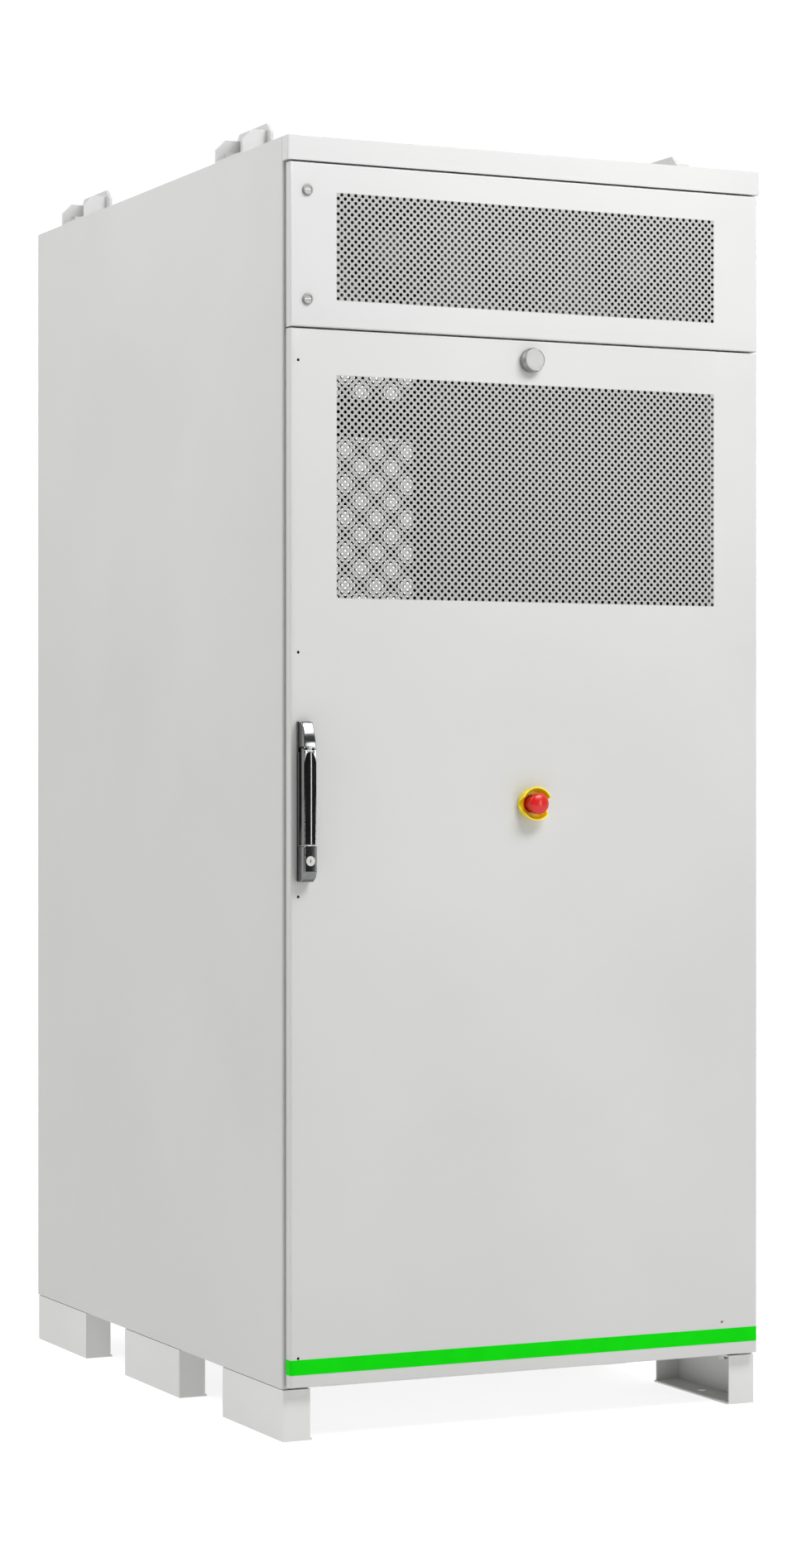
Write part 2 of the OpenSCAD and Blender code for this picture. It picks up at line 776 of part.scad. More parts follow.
// Escutcheon: a back plate, thinner under the shoulder, with the lock block at its lower end
module handle_base() {
    half = handle_w / 2;
    plate_t = 10;
    shoulder_plate_t = 6;
    step_z = spindle_z - 26;
    color("dimgrey") difference() {
        union() {
            block([handle_x - half, y_door - shoulder_plate_t, handle_z0],
                [handle_x + half, y_door, handle_z1]);
            block([handle_x - half, y_door - plate_t, handle_z0], [handle_x + half, y_door - 1, step_z]);
            translate([handle_x - half, 0, 0]) rotate([90, 0, 90]) linear_extrude(handle_w)
                polygon([[y_door - 5.9, handle_z0], [y_door - 16, handle_z0], [handle_y, handle_z0 + 13],
                    [handle_y, lock_top], [y_door - 5.9, lock_top]]);
        }
        bar_y([handle_x, y_door - 8, spindle_z], 10, 6.06);
        bar_y([handle_x, handle_y - 1, lock_z], 40, 7.56);
    }
}

// The shoulder that turns with the lever, its tongue and spindle, and the crank inside the door
module handle_hub() {
    half = handle_w / 2 - 1;
    arm_half = 3;
    color("lightgrey") difference() {
        union() {
            translate([handle_x - half, 0, 0]) rotate([90, 0, 90]) linear_extrude(2 * half)
                polygon([[y_door - 6.4, hub_z0], [handle_y, hub_z0], [y_door - 22, spindle_z + 8],
                    [y_door - 15, handle_z1 - 1], [y_door - 6.4, handle_z1 - 1]]);
            bar_x([handle_x - tongue_half, lever_pin_y, lever_pin_z], 2 * tongue_half, tongue_r);
            block([handle_x - tongue_half, lever_pin_y - arm_half, lever_pin_z],
                [handle_x + tongue_half, lever_pin_y + arm_half, hub_z0 + 1]);
            bar_y([handle_x, y_door - 7, spindle_z], crank_y - y_door + 9, 6);
        }
        bar_x([handle_x - 20, lever_pin_y, lever_pin_z], 40, 2);
    }
    color("silver") {
        bar_x([handle_x - half, lever_pin_y, lever_pin_z], 2 * half, 2);
        block([handle_x - crank_r + 3, crank_y, spindle_z - 6],
            [handle_x + crank_r - 3, crank_y + 3, spindle_z + 6]);
        for (side = [-1, 1]) {
            bar_y([handle_x + side * (crank_r - 3), crank_y, spindle_z], 3, 6);
            bar_y([handle_x + side * crank_r, crank_y + 2.9, spindle_z], 2.6, 2.5);
        }
    }
}

// The lever straddles the shoulder's tongue from behind and ends just above the lock block
module handle_lever() {
    lever_w = handle_w - 1;
    foot = lock_top + 1.2;
    slot_half = tongue_half + 0.3;
    color("darkslategrey") difference() {
        translate([handle_x - lever_w / 2, 0, 0]) rotate([90, 0, 90]) linear_extrude(lever_w)
            polygon([[handle_y + 14, lever_top], [handle_y + 5.5, lever_top],
                [handle_y, lever_top - 3], [handle_y, foot], [handle_y + 16, foot],
                [handle_y + 16, foot + 13], [handle_y + 13, foot + 29],
                [handle_y + 13, lever_top - 20]]);
        bar_x([handle_x - 20, lever_pin_y, lever_pin_z], 40, 2.06);
        bar_x([handle_x - slot_half, lever_pin_y, lever_pin_z], 2 * slot_half, tongue_r + 0.4);
        block([handle_x - slot_half, lever_pin_y - 5.2, lever_pin_z],
            [handle_x + slot_half, handle_y + 20, lever_top + 1]);
    }
}

module lock_cylinder() {
    color("silver") difference() {
        bar_y([handle_x, handle_y - 0.6, lock_z], 42, 7.5);
        block([handle_x - 0.8, handle_y - 2, lock_z - 3], [handle_x + 0.8, handle_y + 4, lock_z + 3]);
    }
}

// ---- latch rods ----

// A round rod with a link bar that reaches past the crank pin; drawn for the upper rod
module latch_rod(length) {
    bar_z([0, 0, 28], length - 28, rod_r);
    block([-crank_r - 1, -5, 22], [rod_r, -2, 35]);
    block([-crank_r - 1, -5, -6], [-rod_r - 0.5, -2, 35]);
}

module upper_latch_rod() {
    color("silver") translate([handle_x, rod_y, spindle_z]) latch_rod(rod_top - spindle_z);
}

module lower_latch_rod() {
    color("silver") translate([handle_x, rod_y, spindle_z])
        rotate([0, 180, 0]) latch_rod(spindle_z - rod_bottom);
}

// ---- vent door ----

module vent_door_skin() {
    color("whitesmoke") difference() {
        union() {
            difference() {
                tray(vent_z0, vent_z1);
                hinge_slots(vent_hinge_z);
            }
            knuckles(vent_hinge_z);
        }
        grille_window(y_door - 1, vent_grille_z - vent_grille_h / 2,
            vent_grille_z + vent_grille_h / 2);
        for (z = latch_z) bar_y([latch_x, y_door - 1, z], 5, 5 + hinge_slack);
    }
}

module vent_door_grille() {
    color("darkgrey") grille_plate(y_door, vent_grille_z - vent_grille_h / 2,
        vent_grille_z + vent_grille_h / 2);
}

module vent_door_gasket() { gasket(vent_z0, vent_z1); }

// A quarter-turn latch: slotted head, shaft and cam
module vent_latch(z) {
    head_r = 8;
    color("silver") translate([latch_x, y_door, z]) difference() {
        union() {
            bar_y([0, -4.5, 0], 4.4, head_r);
            bar_y([0, -0.2, 0], 25, 5);
            block([-16, 22, -5], [5, 25, 5]);
        }
        block([-5, -5, -0.8], [5, -3, 0.8]);
    }
}

module upper_vent_latch() { vent_latch(latch_z[1]); }
module lower_vent_latch() { vent_latch(latch_z[0]); }

front_feet();
middle_feet();
rear_feet();
frame_bolts();
base_side_rails();
base_cross_rails();
floor_plate();
gland_plate();
corner_posts();
top_side_rails();
top_cross_rails();
door_cross_rail();
left_side_panel();
right_side_panel();
roof_cap();
rear_panel();
rear_grilles();
lifting_lugs();
hinge_brackets();
hinge_pins();
core_yokes();
core_limbs();
low_voltage_windings();
high_voltage_windings();
core_clamps();
vibration_pads();
busbars();
mounting_panel();
breaker_case();
breaker_toggle();
terminal_blocks();
earth_bar();
fan_plate();
fan_housings();
fan_rotor_left();
fan_rotor_middle();
fan_rotor_right();
main_door_skin();
main_door_grille();
main_door_gasket();
door_stiffeners();
door_stripe();
rod_guides();
lamp_body();
lamp_lens();
stop_guard();
stop_body();
stop_plunger();
stop_head();
handle_base();
handle_hub();
handle_lever();
lock_cylinder();
upper_latch_rod();
lower_latch_rod();
vent_door_skin();
vent_door_grille();
vent_door_gasket();
upper_vent_latch();
lower_vent_latch();
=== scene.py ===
# %% [markdown]
# # A ventilated power cabinet on fork-lift feet
# The cabinet is folded sheet steel, powder coated light grey. Two doors with perforated fields let air
# through to a dry transformer. The measured model is loaded as a fixed frame: it says where every part
# is and what it moves with. The cells below give each part its finish and its finer shape.

# %% Load the measured frame
import json
from math import cos, pi, radians, sin, tau

import bmesh
import bpy
from mathutils import Matrix, Vector


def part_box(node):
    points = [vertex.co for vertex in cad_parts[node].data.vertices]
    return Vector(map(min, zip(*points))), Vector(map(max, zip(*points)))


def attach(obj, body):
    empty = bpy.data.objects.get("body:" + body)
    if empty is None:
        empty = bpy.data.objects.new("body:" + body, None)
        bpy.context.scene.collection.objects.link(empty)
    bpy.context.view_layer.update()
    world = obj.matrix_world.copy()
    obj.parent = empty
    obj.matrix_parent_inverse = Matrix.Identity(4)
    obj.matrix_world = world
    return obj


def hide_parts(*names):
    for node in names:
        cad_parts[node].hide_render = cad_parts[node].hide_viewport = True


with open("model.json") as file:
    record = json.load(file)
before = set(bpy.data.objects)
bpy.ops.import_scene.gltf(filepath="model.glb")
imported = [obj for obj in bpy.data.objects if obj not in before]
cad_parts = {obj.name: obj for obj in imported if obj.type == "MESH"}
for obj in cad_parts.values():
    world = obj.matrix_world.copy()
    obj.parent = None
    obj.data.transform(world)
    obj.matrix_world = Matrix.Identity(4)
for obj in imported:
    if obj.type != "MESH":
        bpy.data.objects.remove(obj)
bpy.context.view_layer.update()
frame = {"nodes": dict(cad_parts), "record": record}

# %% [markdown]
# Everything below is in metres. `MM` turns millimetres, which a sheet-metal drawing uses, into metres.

MM = 0.001
BODY_OF = {node: body for body, nodes in frame["record"]["behaviour"]["bodies"].items() for node in nodes}

# %% [markdown]
# ## The camera and the light
# The camera stands in front of the left corner, at half the cabinet's height, and looks level, so
# upright edges stay parallel. A long lens keeps the two faces calm. A level camera needs a small lens
# shift to frame the object instead of a tilt.

# %% Camera
camera_data = bpy.data.cameras.new("camera")
camera_data.sensor_width = 36.0
camera_data.lens = 83.04
camera_data.shift_y = -0.0071
camera_data.clip_end = 60
camera = bpy.data.objects.new("camera", camera_data)
camera.location = (-2.4922, -5.4212, 0.984)
camera.rotation_euler = (radians(90), 0, radians(-25))
bpy.context.scene.collection.objects.link(camera)
bpy.context.scene.camera = camera
print("camera", tuple(round(v, 3) for v in camera.location))

# %% [markdown]
# A studio has a large soft light over the front and a strip light behind the camera, and white paper
# in front of the lens. Soft area lights give the slow gradient from the top of the door to its
# foot. The room behind the camera is dimmer than the paper, so shiny metal has something dark
# to mirror. The view transform is Standard, so white paper stays white.

# %% Lights, surroundings and floor
def area_light(name, location, aim, size, watts):
    """A soft rectangular light that looks at a point."""
    data = bpy.data.lights.new(name, "AREA")
    data.shape = "RECTANGLE"
    data.size, data.size_y = size
    data.energy = watts
    light = bpy.data.objects.new(name, data)
    light.location = location
    light.rotation_euler = (Vector(aim) - Vector(location)).to_track_quat("-Z", "Y").to_euler()
    bpy.context.scene.collection.objects.link(light)
    return light


area_light("key_over_front", (0.7, -2.8, 3.6), (0, -0.5, 1.6), (2.4, 1.2), 118)
area_light("fill_left", (-2.9, -0.3, 3.9), (-0.4, 0, 1.6), (1.6, 2.4), 94)
area_light("strip_behind", (2.4, -6.2, 1.6), (-0.2, -0.5, 1.0), (0.35, 3.4), 60)

# %% [markdown]
# ## Materials
# Every finish is a node tree read in object coordinates, which are metres in the cabinet's own frame.
# So a pattern's scale can be worked out from a real size: a noise of scale 1/size has features about
# that size. Two small functions do the typing: one turns a hex colour into linear light, one adds a
# node with its settings and links.

# %% Colour and node helpers
def linear(hex_code):
    """An sRGB hex colour as the linear RGBA that a shader expects."""
    channels = [int(hex_code[i:i + 2], 16) / 255 for i in (1, 3, 5)]
    light = [c / 12.92 if c <= 0.04045 else ((c + 0.055) / 1.055) ** 2.4 for c in channels]
    return (*light, 1.0)


def add(tree, kind, settings=(), links=()):
    """Adds a shader node. Settings are its properties or socket values; links come from other sockets."""
    node = tree.nodes.new("ShaderNode" + kind)
    for key, value in dict(settings).items():
        if isinstance(key, str) and hasattr(node, key):
            setattr(node, key, value)
        else:
            node.inputs[key].default_value = value
    for key, source in dict(links).items():
        tree.links.new(source, node.inputs[key])
    return node


def blend_of(tree, factor, low_hex, high_hex, low=0.35, high=0.65):
    """A two-colour ramp driven by a pattern; returns the colour socket."""
    ramp = add(tree, "ValToRGB", {}, {"Fac": factor})
    ramp.color_ramp.elements[0].position = low
    ramp.color_ramp.elements[0].color = linear(low_hex)
    ramp.color_ramp.elements[1].position = high
    ramp.color_ramp.elements[1].color = linear(high_hex)
    return ramp.outputs["Color"]


def new_material(name, **sockets):
    """A Principled material; returns it with its tree, its shader and the object coordinates."""
    material = bpy.data.materials.new(name)
    material.use_nodes = True
    tree = material.node_tree
    shader = tree.nodes["Principled BSDF"]
    for key, value in sockets.items():
        shader.inputs[key.replace("_", " ")].default_value = value
    place = add(tree, "TexCoord").outputs["Object"]
    return material, tree, shader, place


def noise(tree, place, size_mm, detail=2.0):
    """Cloudy noise whose features are about size_mm millimetres across."""
    return add(tree, "TexNoise", {"Scale": 1 / (size_mm * MM), "Detail": detail},
               {"Vector": place}).outputs["Fac"]


def dress(tree, shader, colour, gloss, gloss_range, relief, depth_mm, strength=1.0):
    """Plugs a colour, a gloss pattern and a relief pattern into the shader."""
    tree.links.new(colour, shader.inputs["Base Color"])
    rough = add(tree, "MapRange", {"To Min": gloss_range[0], "To Max": gloss_range[1]}, {"Value": gloss})
    tree.links.new(rough.outputs["Result"], shader.inputs["Roughness"])
    bump = add(tree, "Bump", {"Strength": strength, "Distance": depth_mm * MM}, {"Height": relief})
    tree.links.new(bump.outputs["Normal"], shader.inputs["Normal"])


# %% [markdown]
# **Powder coat.** Dry powder is sprayed on the steel and baked. It flows out to an even satin skin with
# a faint orange peel, about 2 mm from hill to hill. Large soft clouds shift the grey by a percent or
# two, as an uneven film does, and the same clouds vary the gloss.

# %% Powder-coated sheet steel
def powder_coat(name, dark_hex, light_hex, gloss_range=(0.36, 0.48), peel=0.10):
    material, tree, shader, place = new_material(name)
    cloud = noise(tree, place, 420, 3.0)
    speck = noise(tree, place, 1.4, 2.0)
    mix = add(tree, "Math", {"operation": "MULTIPLY_ADD", 1: 0.22}, {0: speck, 2: cloud}).outputs[0]
    colour = blend_of(tree, mix, dark_hex, light_hex, 0.4, 0.8)
    dress(tree, shader, colour, cloud, gloss_range, noise(tree, place, 2.2, 1.5), 0.12, peel)
    return material


door_coat = powder_coat("powder_coat_door", "#b9b9b8", "#bfbfbe")
# The same powder coat as the doors, a shade darker for the side panels and rails and a shade lighter for the
# roof cap, vent door and lugs: painted shade and painted light.
panel_coat_painted_shade = powder_coat("powder_coat_side_panel_painted_shade", "#b7b7b6", "#bdbdbc")
cap_coat_painted_light = powder_coat("powder_coat_roof_cap_painted_light", "#bababa", "#c0c0bf")
foot_coat = powder_coat("powder_coat_feet", "#c6c6c4", "#cececc", (0.42, 0.56))
# The perforated fields are the same powder coat as the doors, painted darker here: painted shade for the dark
# seen through the holes.
punched_coat_painted_shade = powder_coat("powder_coat_punched_painted_shade", "#999998", "#a1a1a0", (0.42, 0.54))
# A darker grey for parts inside the cabinet: painted shade for the dark inside.
inside_coat_painted_shade = powder_coat("powder_coat_inside_painted_shade", "#8d8e8d", "#989998", (0.5, 0.62))
# Matt black for the inward faces of covers, doors and grilles: painted shade, so the inside reads dark
# through the holes.
painted_shade_black = powder_coat("matt_black_painted_shade", "#131313", "#1c1c1c", (0.75, 0.92))
print("powder coats", len(bpy.data.materials))

# %% [markdown]
# **Galvanised steel.** Sheet drawn through molten zinc freezes into flat crystals, called spangle. Each
# crystal mirrors the light a little differently. A Voronoi pattern gives every crystal its own grey and
# its own gloss; fine noise on top is the matt bloom that zinc grows in air.

# %% Galvanised frame steel
def galvanised(name, dark_hex, light_hex, crystal_mm=9):
    material, tree, shader, place = new_material(name, Metallic=0.85)
    crystals = add(tree, "TexVoronoi", {"Scale": 1 / (crystal_mm * MM)}, {"Vector": place})
    tone = add(tree, "SeparateColor", {}, {"Color": crystals.outputs["Color"]}).outputs[0]
    bloom = noise(tree, place, 3.0, 4.0)
    mix = add(tree, "Math", {"operation": "MULTIPLY_ADD", 1: 0.45}, {0: bloom, 2: tone}).outputs[0]
    colour = blend_of(tree, mix, dark_hex, light_hex, 0.2, 1.2)
    dress(tree, shader, colour, tone, (0.34, 0.58), bloom, 0.03, 0.3)
    return material


frame_zinc = galvanised("galvanised_frame", "#8f9496", "#b6babc")
plate_zinc = galvanised("galvanised_plate", "#989c9d", "#c0c3c4", 14)

# %% [markdown]
# **Plated and brushed metals.** Bolts and pins are zinc plated by the bath, which leaves a bright, even
# skin with tiny pits. Copper bars and machined parts carry fine drawn lines along their length: noise
# squeezed across one axis gives those lines. Handling leaves duller clouds on both.

# %% Metals with a drawn or plated skin
def metal(name, dark_hex, light_hex, gloss_range, line_mm=(0.4, 0.4, 0.4), relief_mm=0.01):
    material, tree, shader, place = new_material(name, Metallic=1.0)
    stretch = tuple(1 / (size * MM) for size in line_mm)
    drawn = add(tree, "Mapping", {"Scale": stretch}, {"Vector": place}).outputs["Vector"]
    lines = add(tree, "TexNoise", {"Scale": 1.0, "Detail": 2.0}, {"Vector": drawn}).outputs["Fac"]
    worn = noise(tree, place, 24, 4.0)
    mix = add(tree, "Math", {"operation": "MULTIPLY_ADD", 1: 0.4}, {0: lines, 2: worn}).outputs[0]
    colour = blend_of(tree, mix, dark_hex, light_hex, 0.45, 0.95)
    dress(tree, shader, colour, mix, gloss_range, lines, relief_mm, 0.5)
    return material


bolt_zinc = metal("zinc_plated_bolts", "#a9abaa", "#d4d3cc", (0.22, 0.42))
rod_zinc = metal("zinc_plated_rod", "#a4a7a8", "#cfd0ce", (0.2, 0.4), (0.3, 0.3, 14.0))
copper_bar = metal("drawn_copper", "#9a5a3c", "#d08a62", (0.22, 0.48), (20.0, 0.5, 20.0))
fan_alloy = metal("cast_fan_alloy", "#3c3e40", "#525456", (0.4, 0.6), (1.6, 1.6, 1.6), 0.05)
lock_nickel = metal("nickel_plated_lock", "#b9b9b6", "#cfcecb", (0.45, 0.56), (0.2, 0.2, 0.2))
latch_nickel = metal("nickel_plated_latch", "#8f8f8e", "#a8a8a6", (0.5, 0.65), (0.25, 0.25, 0.25))
cap_alloy = metal("turned_alloy_cap", "#8e8f8e", "#b9bab8", (0.22, 0.34), (6.0, 0.15, 6.0))
handle_satin = metal("dark_chrome_handle", "#6c6d6e", "#7f8080", (0.09, 0.15), (0.25, 0.25, 3.0), 0.004)

# %% [markdown]
# **Core steel.** The core is a stack of 0.3 mm silicon-steel sheets, coated dark so that they insulate
# one another. Seen on the cut edges the stack is a fine stripe. The stripe is drawn here at 2 mm so
# that it survives at a distance. Brown clouds are the varnish, which pools while it bakes.

# %% Laminated core steel
core_steel, tree, shader, place = new_material("laminated_core_steel", Metallic=0.55)
across = add(tree, "SeparateXYZ", {}, {"Vector": place}).outputs["Y"]
stack = add(tree, "Math", {"operation": "PINGPONG", 1: 1.0 * MM}, {0: across}).outputs[0]
stripe = add(tree, "MapRange", {"From Max": 1.0 * MM}, {"Value": stack}).outputs["Result"]
varnish = noise(tree, place, 60, 4.0)
mix = add(tree, "Math", {"operation": "MULTIPLY_ADD", 1: 0.35}, {0: stripe, 2: varnish}).outputs[0]
dress(tree, shader, blend_of(tree, mix, "#2f2c2b", "#57504b", 0.4, 0.9), varnish, (0.35, 0.6), stripe,
      0.15, 0.5)

# %% [markdown]
# **Cast resin and foil.** The outer windings are cast in red-brown epoxy filled with quartz flour, so
# the skin is smooth but slightly mottled, with flow lines that run round. The inner windings are wide
# foil with paper between the turns, which shows as pale bands.

# %% Windings
winding_resin, tree, shader, place = new_material("cast_epoxy_resin", Coat_Weight=0.25, Coat_Roughness=0.18)
mottle = noise(tree, place, 9, 5.0)
flow = add(tree, "TexNoise", {"Scale": 1.0, "Detail": 3.0},
           {"Vector": add(tree, "Mapping", {"Scale": (6, 6, 90)}, {"Vector": place}).outputs["Vector"]})
mix = add(tree, "Math", {"operation": "MULTIPLY_ADD", 1: 0.5}, {0: mottle, 2: flow.outputs["Fac"]}).outputs[0]
dress(tree, shader, blend_of(tree, mix, "#6e2a1e", "#934334", 0.55, 0.95), mottle, (0.3, 0.45), mix, 0.2, 0.3)

winding_foil, tree, shader, place = new_material("foil_and_paper_winding", Metallic=0.3)
height = add(tree, "SeparateXYZ", {}, {"Vector": place}).outputs["Z"]
bands = add(tree, "Math", {"operation": "PINGPONG", 1: 6.0 * MM}, {0: height}).outputs[0]
band = add(tree, "MapRange", {"From Max": 6.0 * MM}, {"Value": bands}).outputs["Result"]
fibre = noise(tree, place, 1.5, 4.0)
mix = add(tree, "Math", {"operation": "MULTIPLY_ADD", 1: 0.3}, {0: fibre, 2: band}).outputs[0]
dress(tree, shader, blend_of(tree, mix, "#a87a44", "#cfb48a", 0.2, 0.9), fibre, (0.4, 0.65), mix, 0.2, 0.4)

# %% [markdown]
# **Moulded plastics, rubber and film.** Injection-moulded parts copy the spark-eroded texture of their
# mould: a fine even grain under half a millimetre. Colour barely changes, but the gloss does. Rubber is
# duller and dusty. The signal yellow part is satin, and the signal red parts are a little glossier.

# %% Plastics, rubber and film
def moulded(name, dark_hex, light_hex, gloss_range, grain_mm=0.5, relief_mm=0.03, coat=0.0, sheen_level=0.5):
    material, tree, shader, place = new_material(name, Coat_Weight=coat, Coat_Roughness=0.08,
                                                 Specular_IOR_Level=sheen_level)
    grain = noise(tree, place, grain_mm, 2.0)
    flow_marks = noise(tree, place, 30, 3.0)
    mix = add(tree, "Math", {"operation": "MULTIPLY_ADD", 1: 0.3}, {0: grain, 2: flow_marks}).outputs[0]
    colour = blend_of(tree, mix, dark_hex, light_hex, 0.45, 0.85)
    dress(tree, shader, colour, flow_marks, gloss_range, grain, relief_mm, 0.5)
    return material


black_plastic = moulded("black_nylon", "#17181a", "#242527", (0.4, 0.6))
breaker_plastic = moulded("dark_grey_thermoset", "#2b2e31", "#383b3e", (0.35, 0.5))
terminal_plastic = moulded("grey_polyamide", "#8b9093", "#9ca1a3", (0.38, 0.52))
seal_rubber = moulded("epdm_rubber", "#141414", "#222222", (0.7, 0.9), 1.2, 0.08)
door_seal = moulded("grey_foamed_silicone", "#b4b4b2", "#bebebc", (0.7, 0.9), 1.2, 0.08)
green_film = moulded("green_vinyl_film", "#00c200", "#00ca00", (0.5, 0.6), 0.8, 0.01, 0.0, 0.08)
guard_yellow = moulded("signal_yellow_plastic", "#e8cf00", "#f4dc08", (0.36, 0.46), 0.6, 0.01, 0.0)
button_red = moulded("signal_red_plastic", "#c01414", "#d01c1c", (0.24, 0.3), 0.6, 0.008, 0.0)
cap_face = moulded("grey_diffuser_cap", "#a2a3a2", "#adaeac", (0.42, 0.55), 0.5, 0.02)
clamp_paint = moulded("blue_grey_enamel", "#4a5a66", "#586a77", (0.3, 0.45), 2.5, 0.06)
handle_black = moulded("black_gloss_coated_zinc", "#0b0b0c", "#161617", (0.04, 0.07), 1.8, 0.01, 0.0)
print("materials", len(bpy.data.materials))

# %% [markdown]
# ## Tools for the pieces
# A piece is built in a bmesh, in the frame's own coordinates, and then handed over: normals outward,
# smooth shading that breaks at real edges, its material, the body it rides on, and the frame nodes that
# it stands for. The object itself stays at the origin.

# %% Handing over a finished piece
def finished(name, bm, body, material, stands_for=(), crease=32, in_painted_shade=None):
    """Turns a bmesh into a finished piece. Faces for which the given test of (centre, normal) is true get
    matt black: painted shade for the dark inside of the cabinet.
    """
    bmesh.ops.recalc_face_normals(bm, faces=bm.faces[:])
    mesh = bpy.data.meshes.new(name)
    bm.to_mesh(mesh)
    bm.free()
    mesh.shade_smooth()
    mesh.set_sharp_from_angle(angle=radians(crease))
    mesh.materials.append(material)
    # Inward faces get matt black: painted shade for the dark inside of the cabinet.
    if in_painted_shade:
        mesh.materials.append(painted_shade_black)
        for face in mesh.polygons:
            face.material_index = int(in_painted_shade(face.center, face.normal))
    piece = bpy.data.objects.new(name, mesh)
    bpy.context.scene.collection.objects.link(piece)
    even = piece.modifiers.new("even_normals", "WEIGHTED_NORMAL")
    even.keep_sharp = True
    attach(piece, body)
    if stands_for:
        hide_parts(*stands_for)
    print(f"{name:24s} {body:16s} {len(mesh.polygons):6d} faces")
    return piece


def softened(node, material, radius=0.6, steps=2, in_painted_shade=None):
    """The frame's own shape with its sharp edges rounded, as a folded, sawn or cast edge is."""
    bm = bmesh.new()
    bm.from_mesh(frame["nodes"][node].data)
    bmesh.ops.remove_doubles(bm, verts=bm.verts[:], dist=1e-6)
    bmesh.ops.dissolve_limit(bm, angle_limit=radians(1.5), verts=bm.verts[:], edges=bm.edges[:])
    sharp = [e for e in bm.edges if len(e.link_faces) == 2 and e.calc_face_angle() > radians(28)]
    bmesh.ops.bevel(bm, geom=sharp, offset=radius * MM, segments=steps, profile=0.5,
                    affect="EDGES", clamp_overlap=True, material=-1)
    return finished(node + "_finished", bm, BODY_OF[node], material, (node,), in_painted_shade=in_painted_shade)


# %% [markdown]
# Three builders cover most parts. `add_block` is a block with rounded edges. `add_turned` spins a
# profile round an axis, as a lathe does. `filleted` rounds the corners of a profile before it is spun.
# `extruded` pushes a flat outline along an axis, for folded sheet and cast sections.

# %% Builders
def add_block(bm, low, high, bevel=0.0, steps=2):
    """A block between two corners, its edges rounded by bevel."""
    low, high = Vector(low), Vector(high)
    made = bmesh.ops.create_cube(bm, size=1, matrix=Matrix.LocRotScale((low + high) / 2, None, high - low))
    if bevel:
        edges = list({edge for vert in made["verts"] for edge in vert.link_edges})
        bmesh.ops.bevel(bm, geom=edges, offset=bevel, segments=steps, profile=0.5,
                        affect="EDGES", clamp_overlap=True, material=-1)


def filleted(points, radius, steps=3):
    """A profile whose inner corners are replaced by short curves."""
    points = [Vector(point) for point in points]
    smooth = [points[0]]
    for before, corner, after in zip(points, points[1:], points[2:]):
        into, out = before - corner, after - corner
        start = corner + into.normalized() * min(radius, into.length / 2.01)
        end = corner + out.normalized() * min(radius, out.length / 2.01)
        for i in range(steps + 1):
            t = i / steps
            smooth.append(start * (1 - t) ** 2 + corner * 2 * t * (1 - t) + end * t ** 2)
    return smooth + [points[-1]]


def add_turned(bm, profile, centre, axis, steps=48):
    """Spins a profile of (radius, height along the axis) points; returns the new vertices."""
    place = (Matrix.Translation(centre)
             @ Vector((0, 0, 1)).rotation_difference(Vector(axis)).to_matrix().to_4x4())
    first = len(bm.verts)
    chain = [bm.verts.new(place @ Vector((r, 0, h))) for r, h in profile]
    edges = [bm.edges.new(pair) for pair in zip(chain, chain[1:])]
    bmesh.ops.spin(bm, geom=chain + edges, cent=centre, axis=axis, angle=tau, steps=steps,
                   use_merge=True, dvec=(0, 0, 0))
    bm.verts.ensure_lookup_table()
    bmesh.ops.remove_doubles(bm, verts=bm.verts[first:], dist=1e-7)
    bm.verts.ensure_lookup_table()
    return bm.verts[first:]


def extruded(bm, outline, along, low, high):
    """Pushes a closed outline of (Y, Z) or (X, Y) points from low to high along "X" or "Z"."""
    if along == "X":
        base = [Vector((low, a, b)) for a, b in outline]
        push = Vector((high - low, 0, 0))
    else:
        base = [Vector((a, b, low)) for a, b in outline]
        push = Vector((0, 0, high - low))
    face = bm.faces.new([bm.verts.new(point) for point in base])
    grown = bmesh.ops.extrude_face_region(bm, geom=[face], use_keep_orig=True)["geom"]
    bmesh.ops.translate(bm, vec=push, verts=[g for g in grown if isinstance(g, bmesh.types.BMVert)])
    return face


def round_edges(bm, chosen, radius, steps=3):
    """Bevels the edges for which chosen(edge) is true."""
    edges = [edge for edge in bm.edges if len(edge.link_faces) == 2 and chosen(edge)]
    bmesh.ops.bevel(bm, geom=edges, offset=radius, segments=steps, profile=0.5,
                    affect="EDGES", clamp_overlap=True, material=-1)


# %% [markdown]
# ## Perforated sheet
# A turret press punches round 4 mm holes on a lattice turned by 45 degrees, so the field is a
# checkerboard of small squares, one with a hole, the next without. One tile of two by two squares is
# enough: it is copied by doubling until the field is full, then the overhang is removed and the sheet
# gets its thickness. Each hole has eight sides, which is plenty at this size and keeps the mesh light.

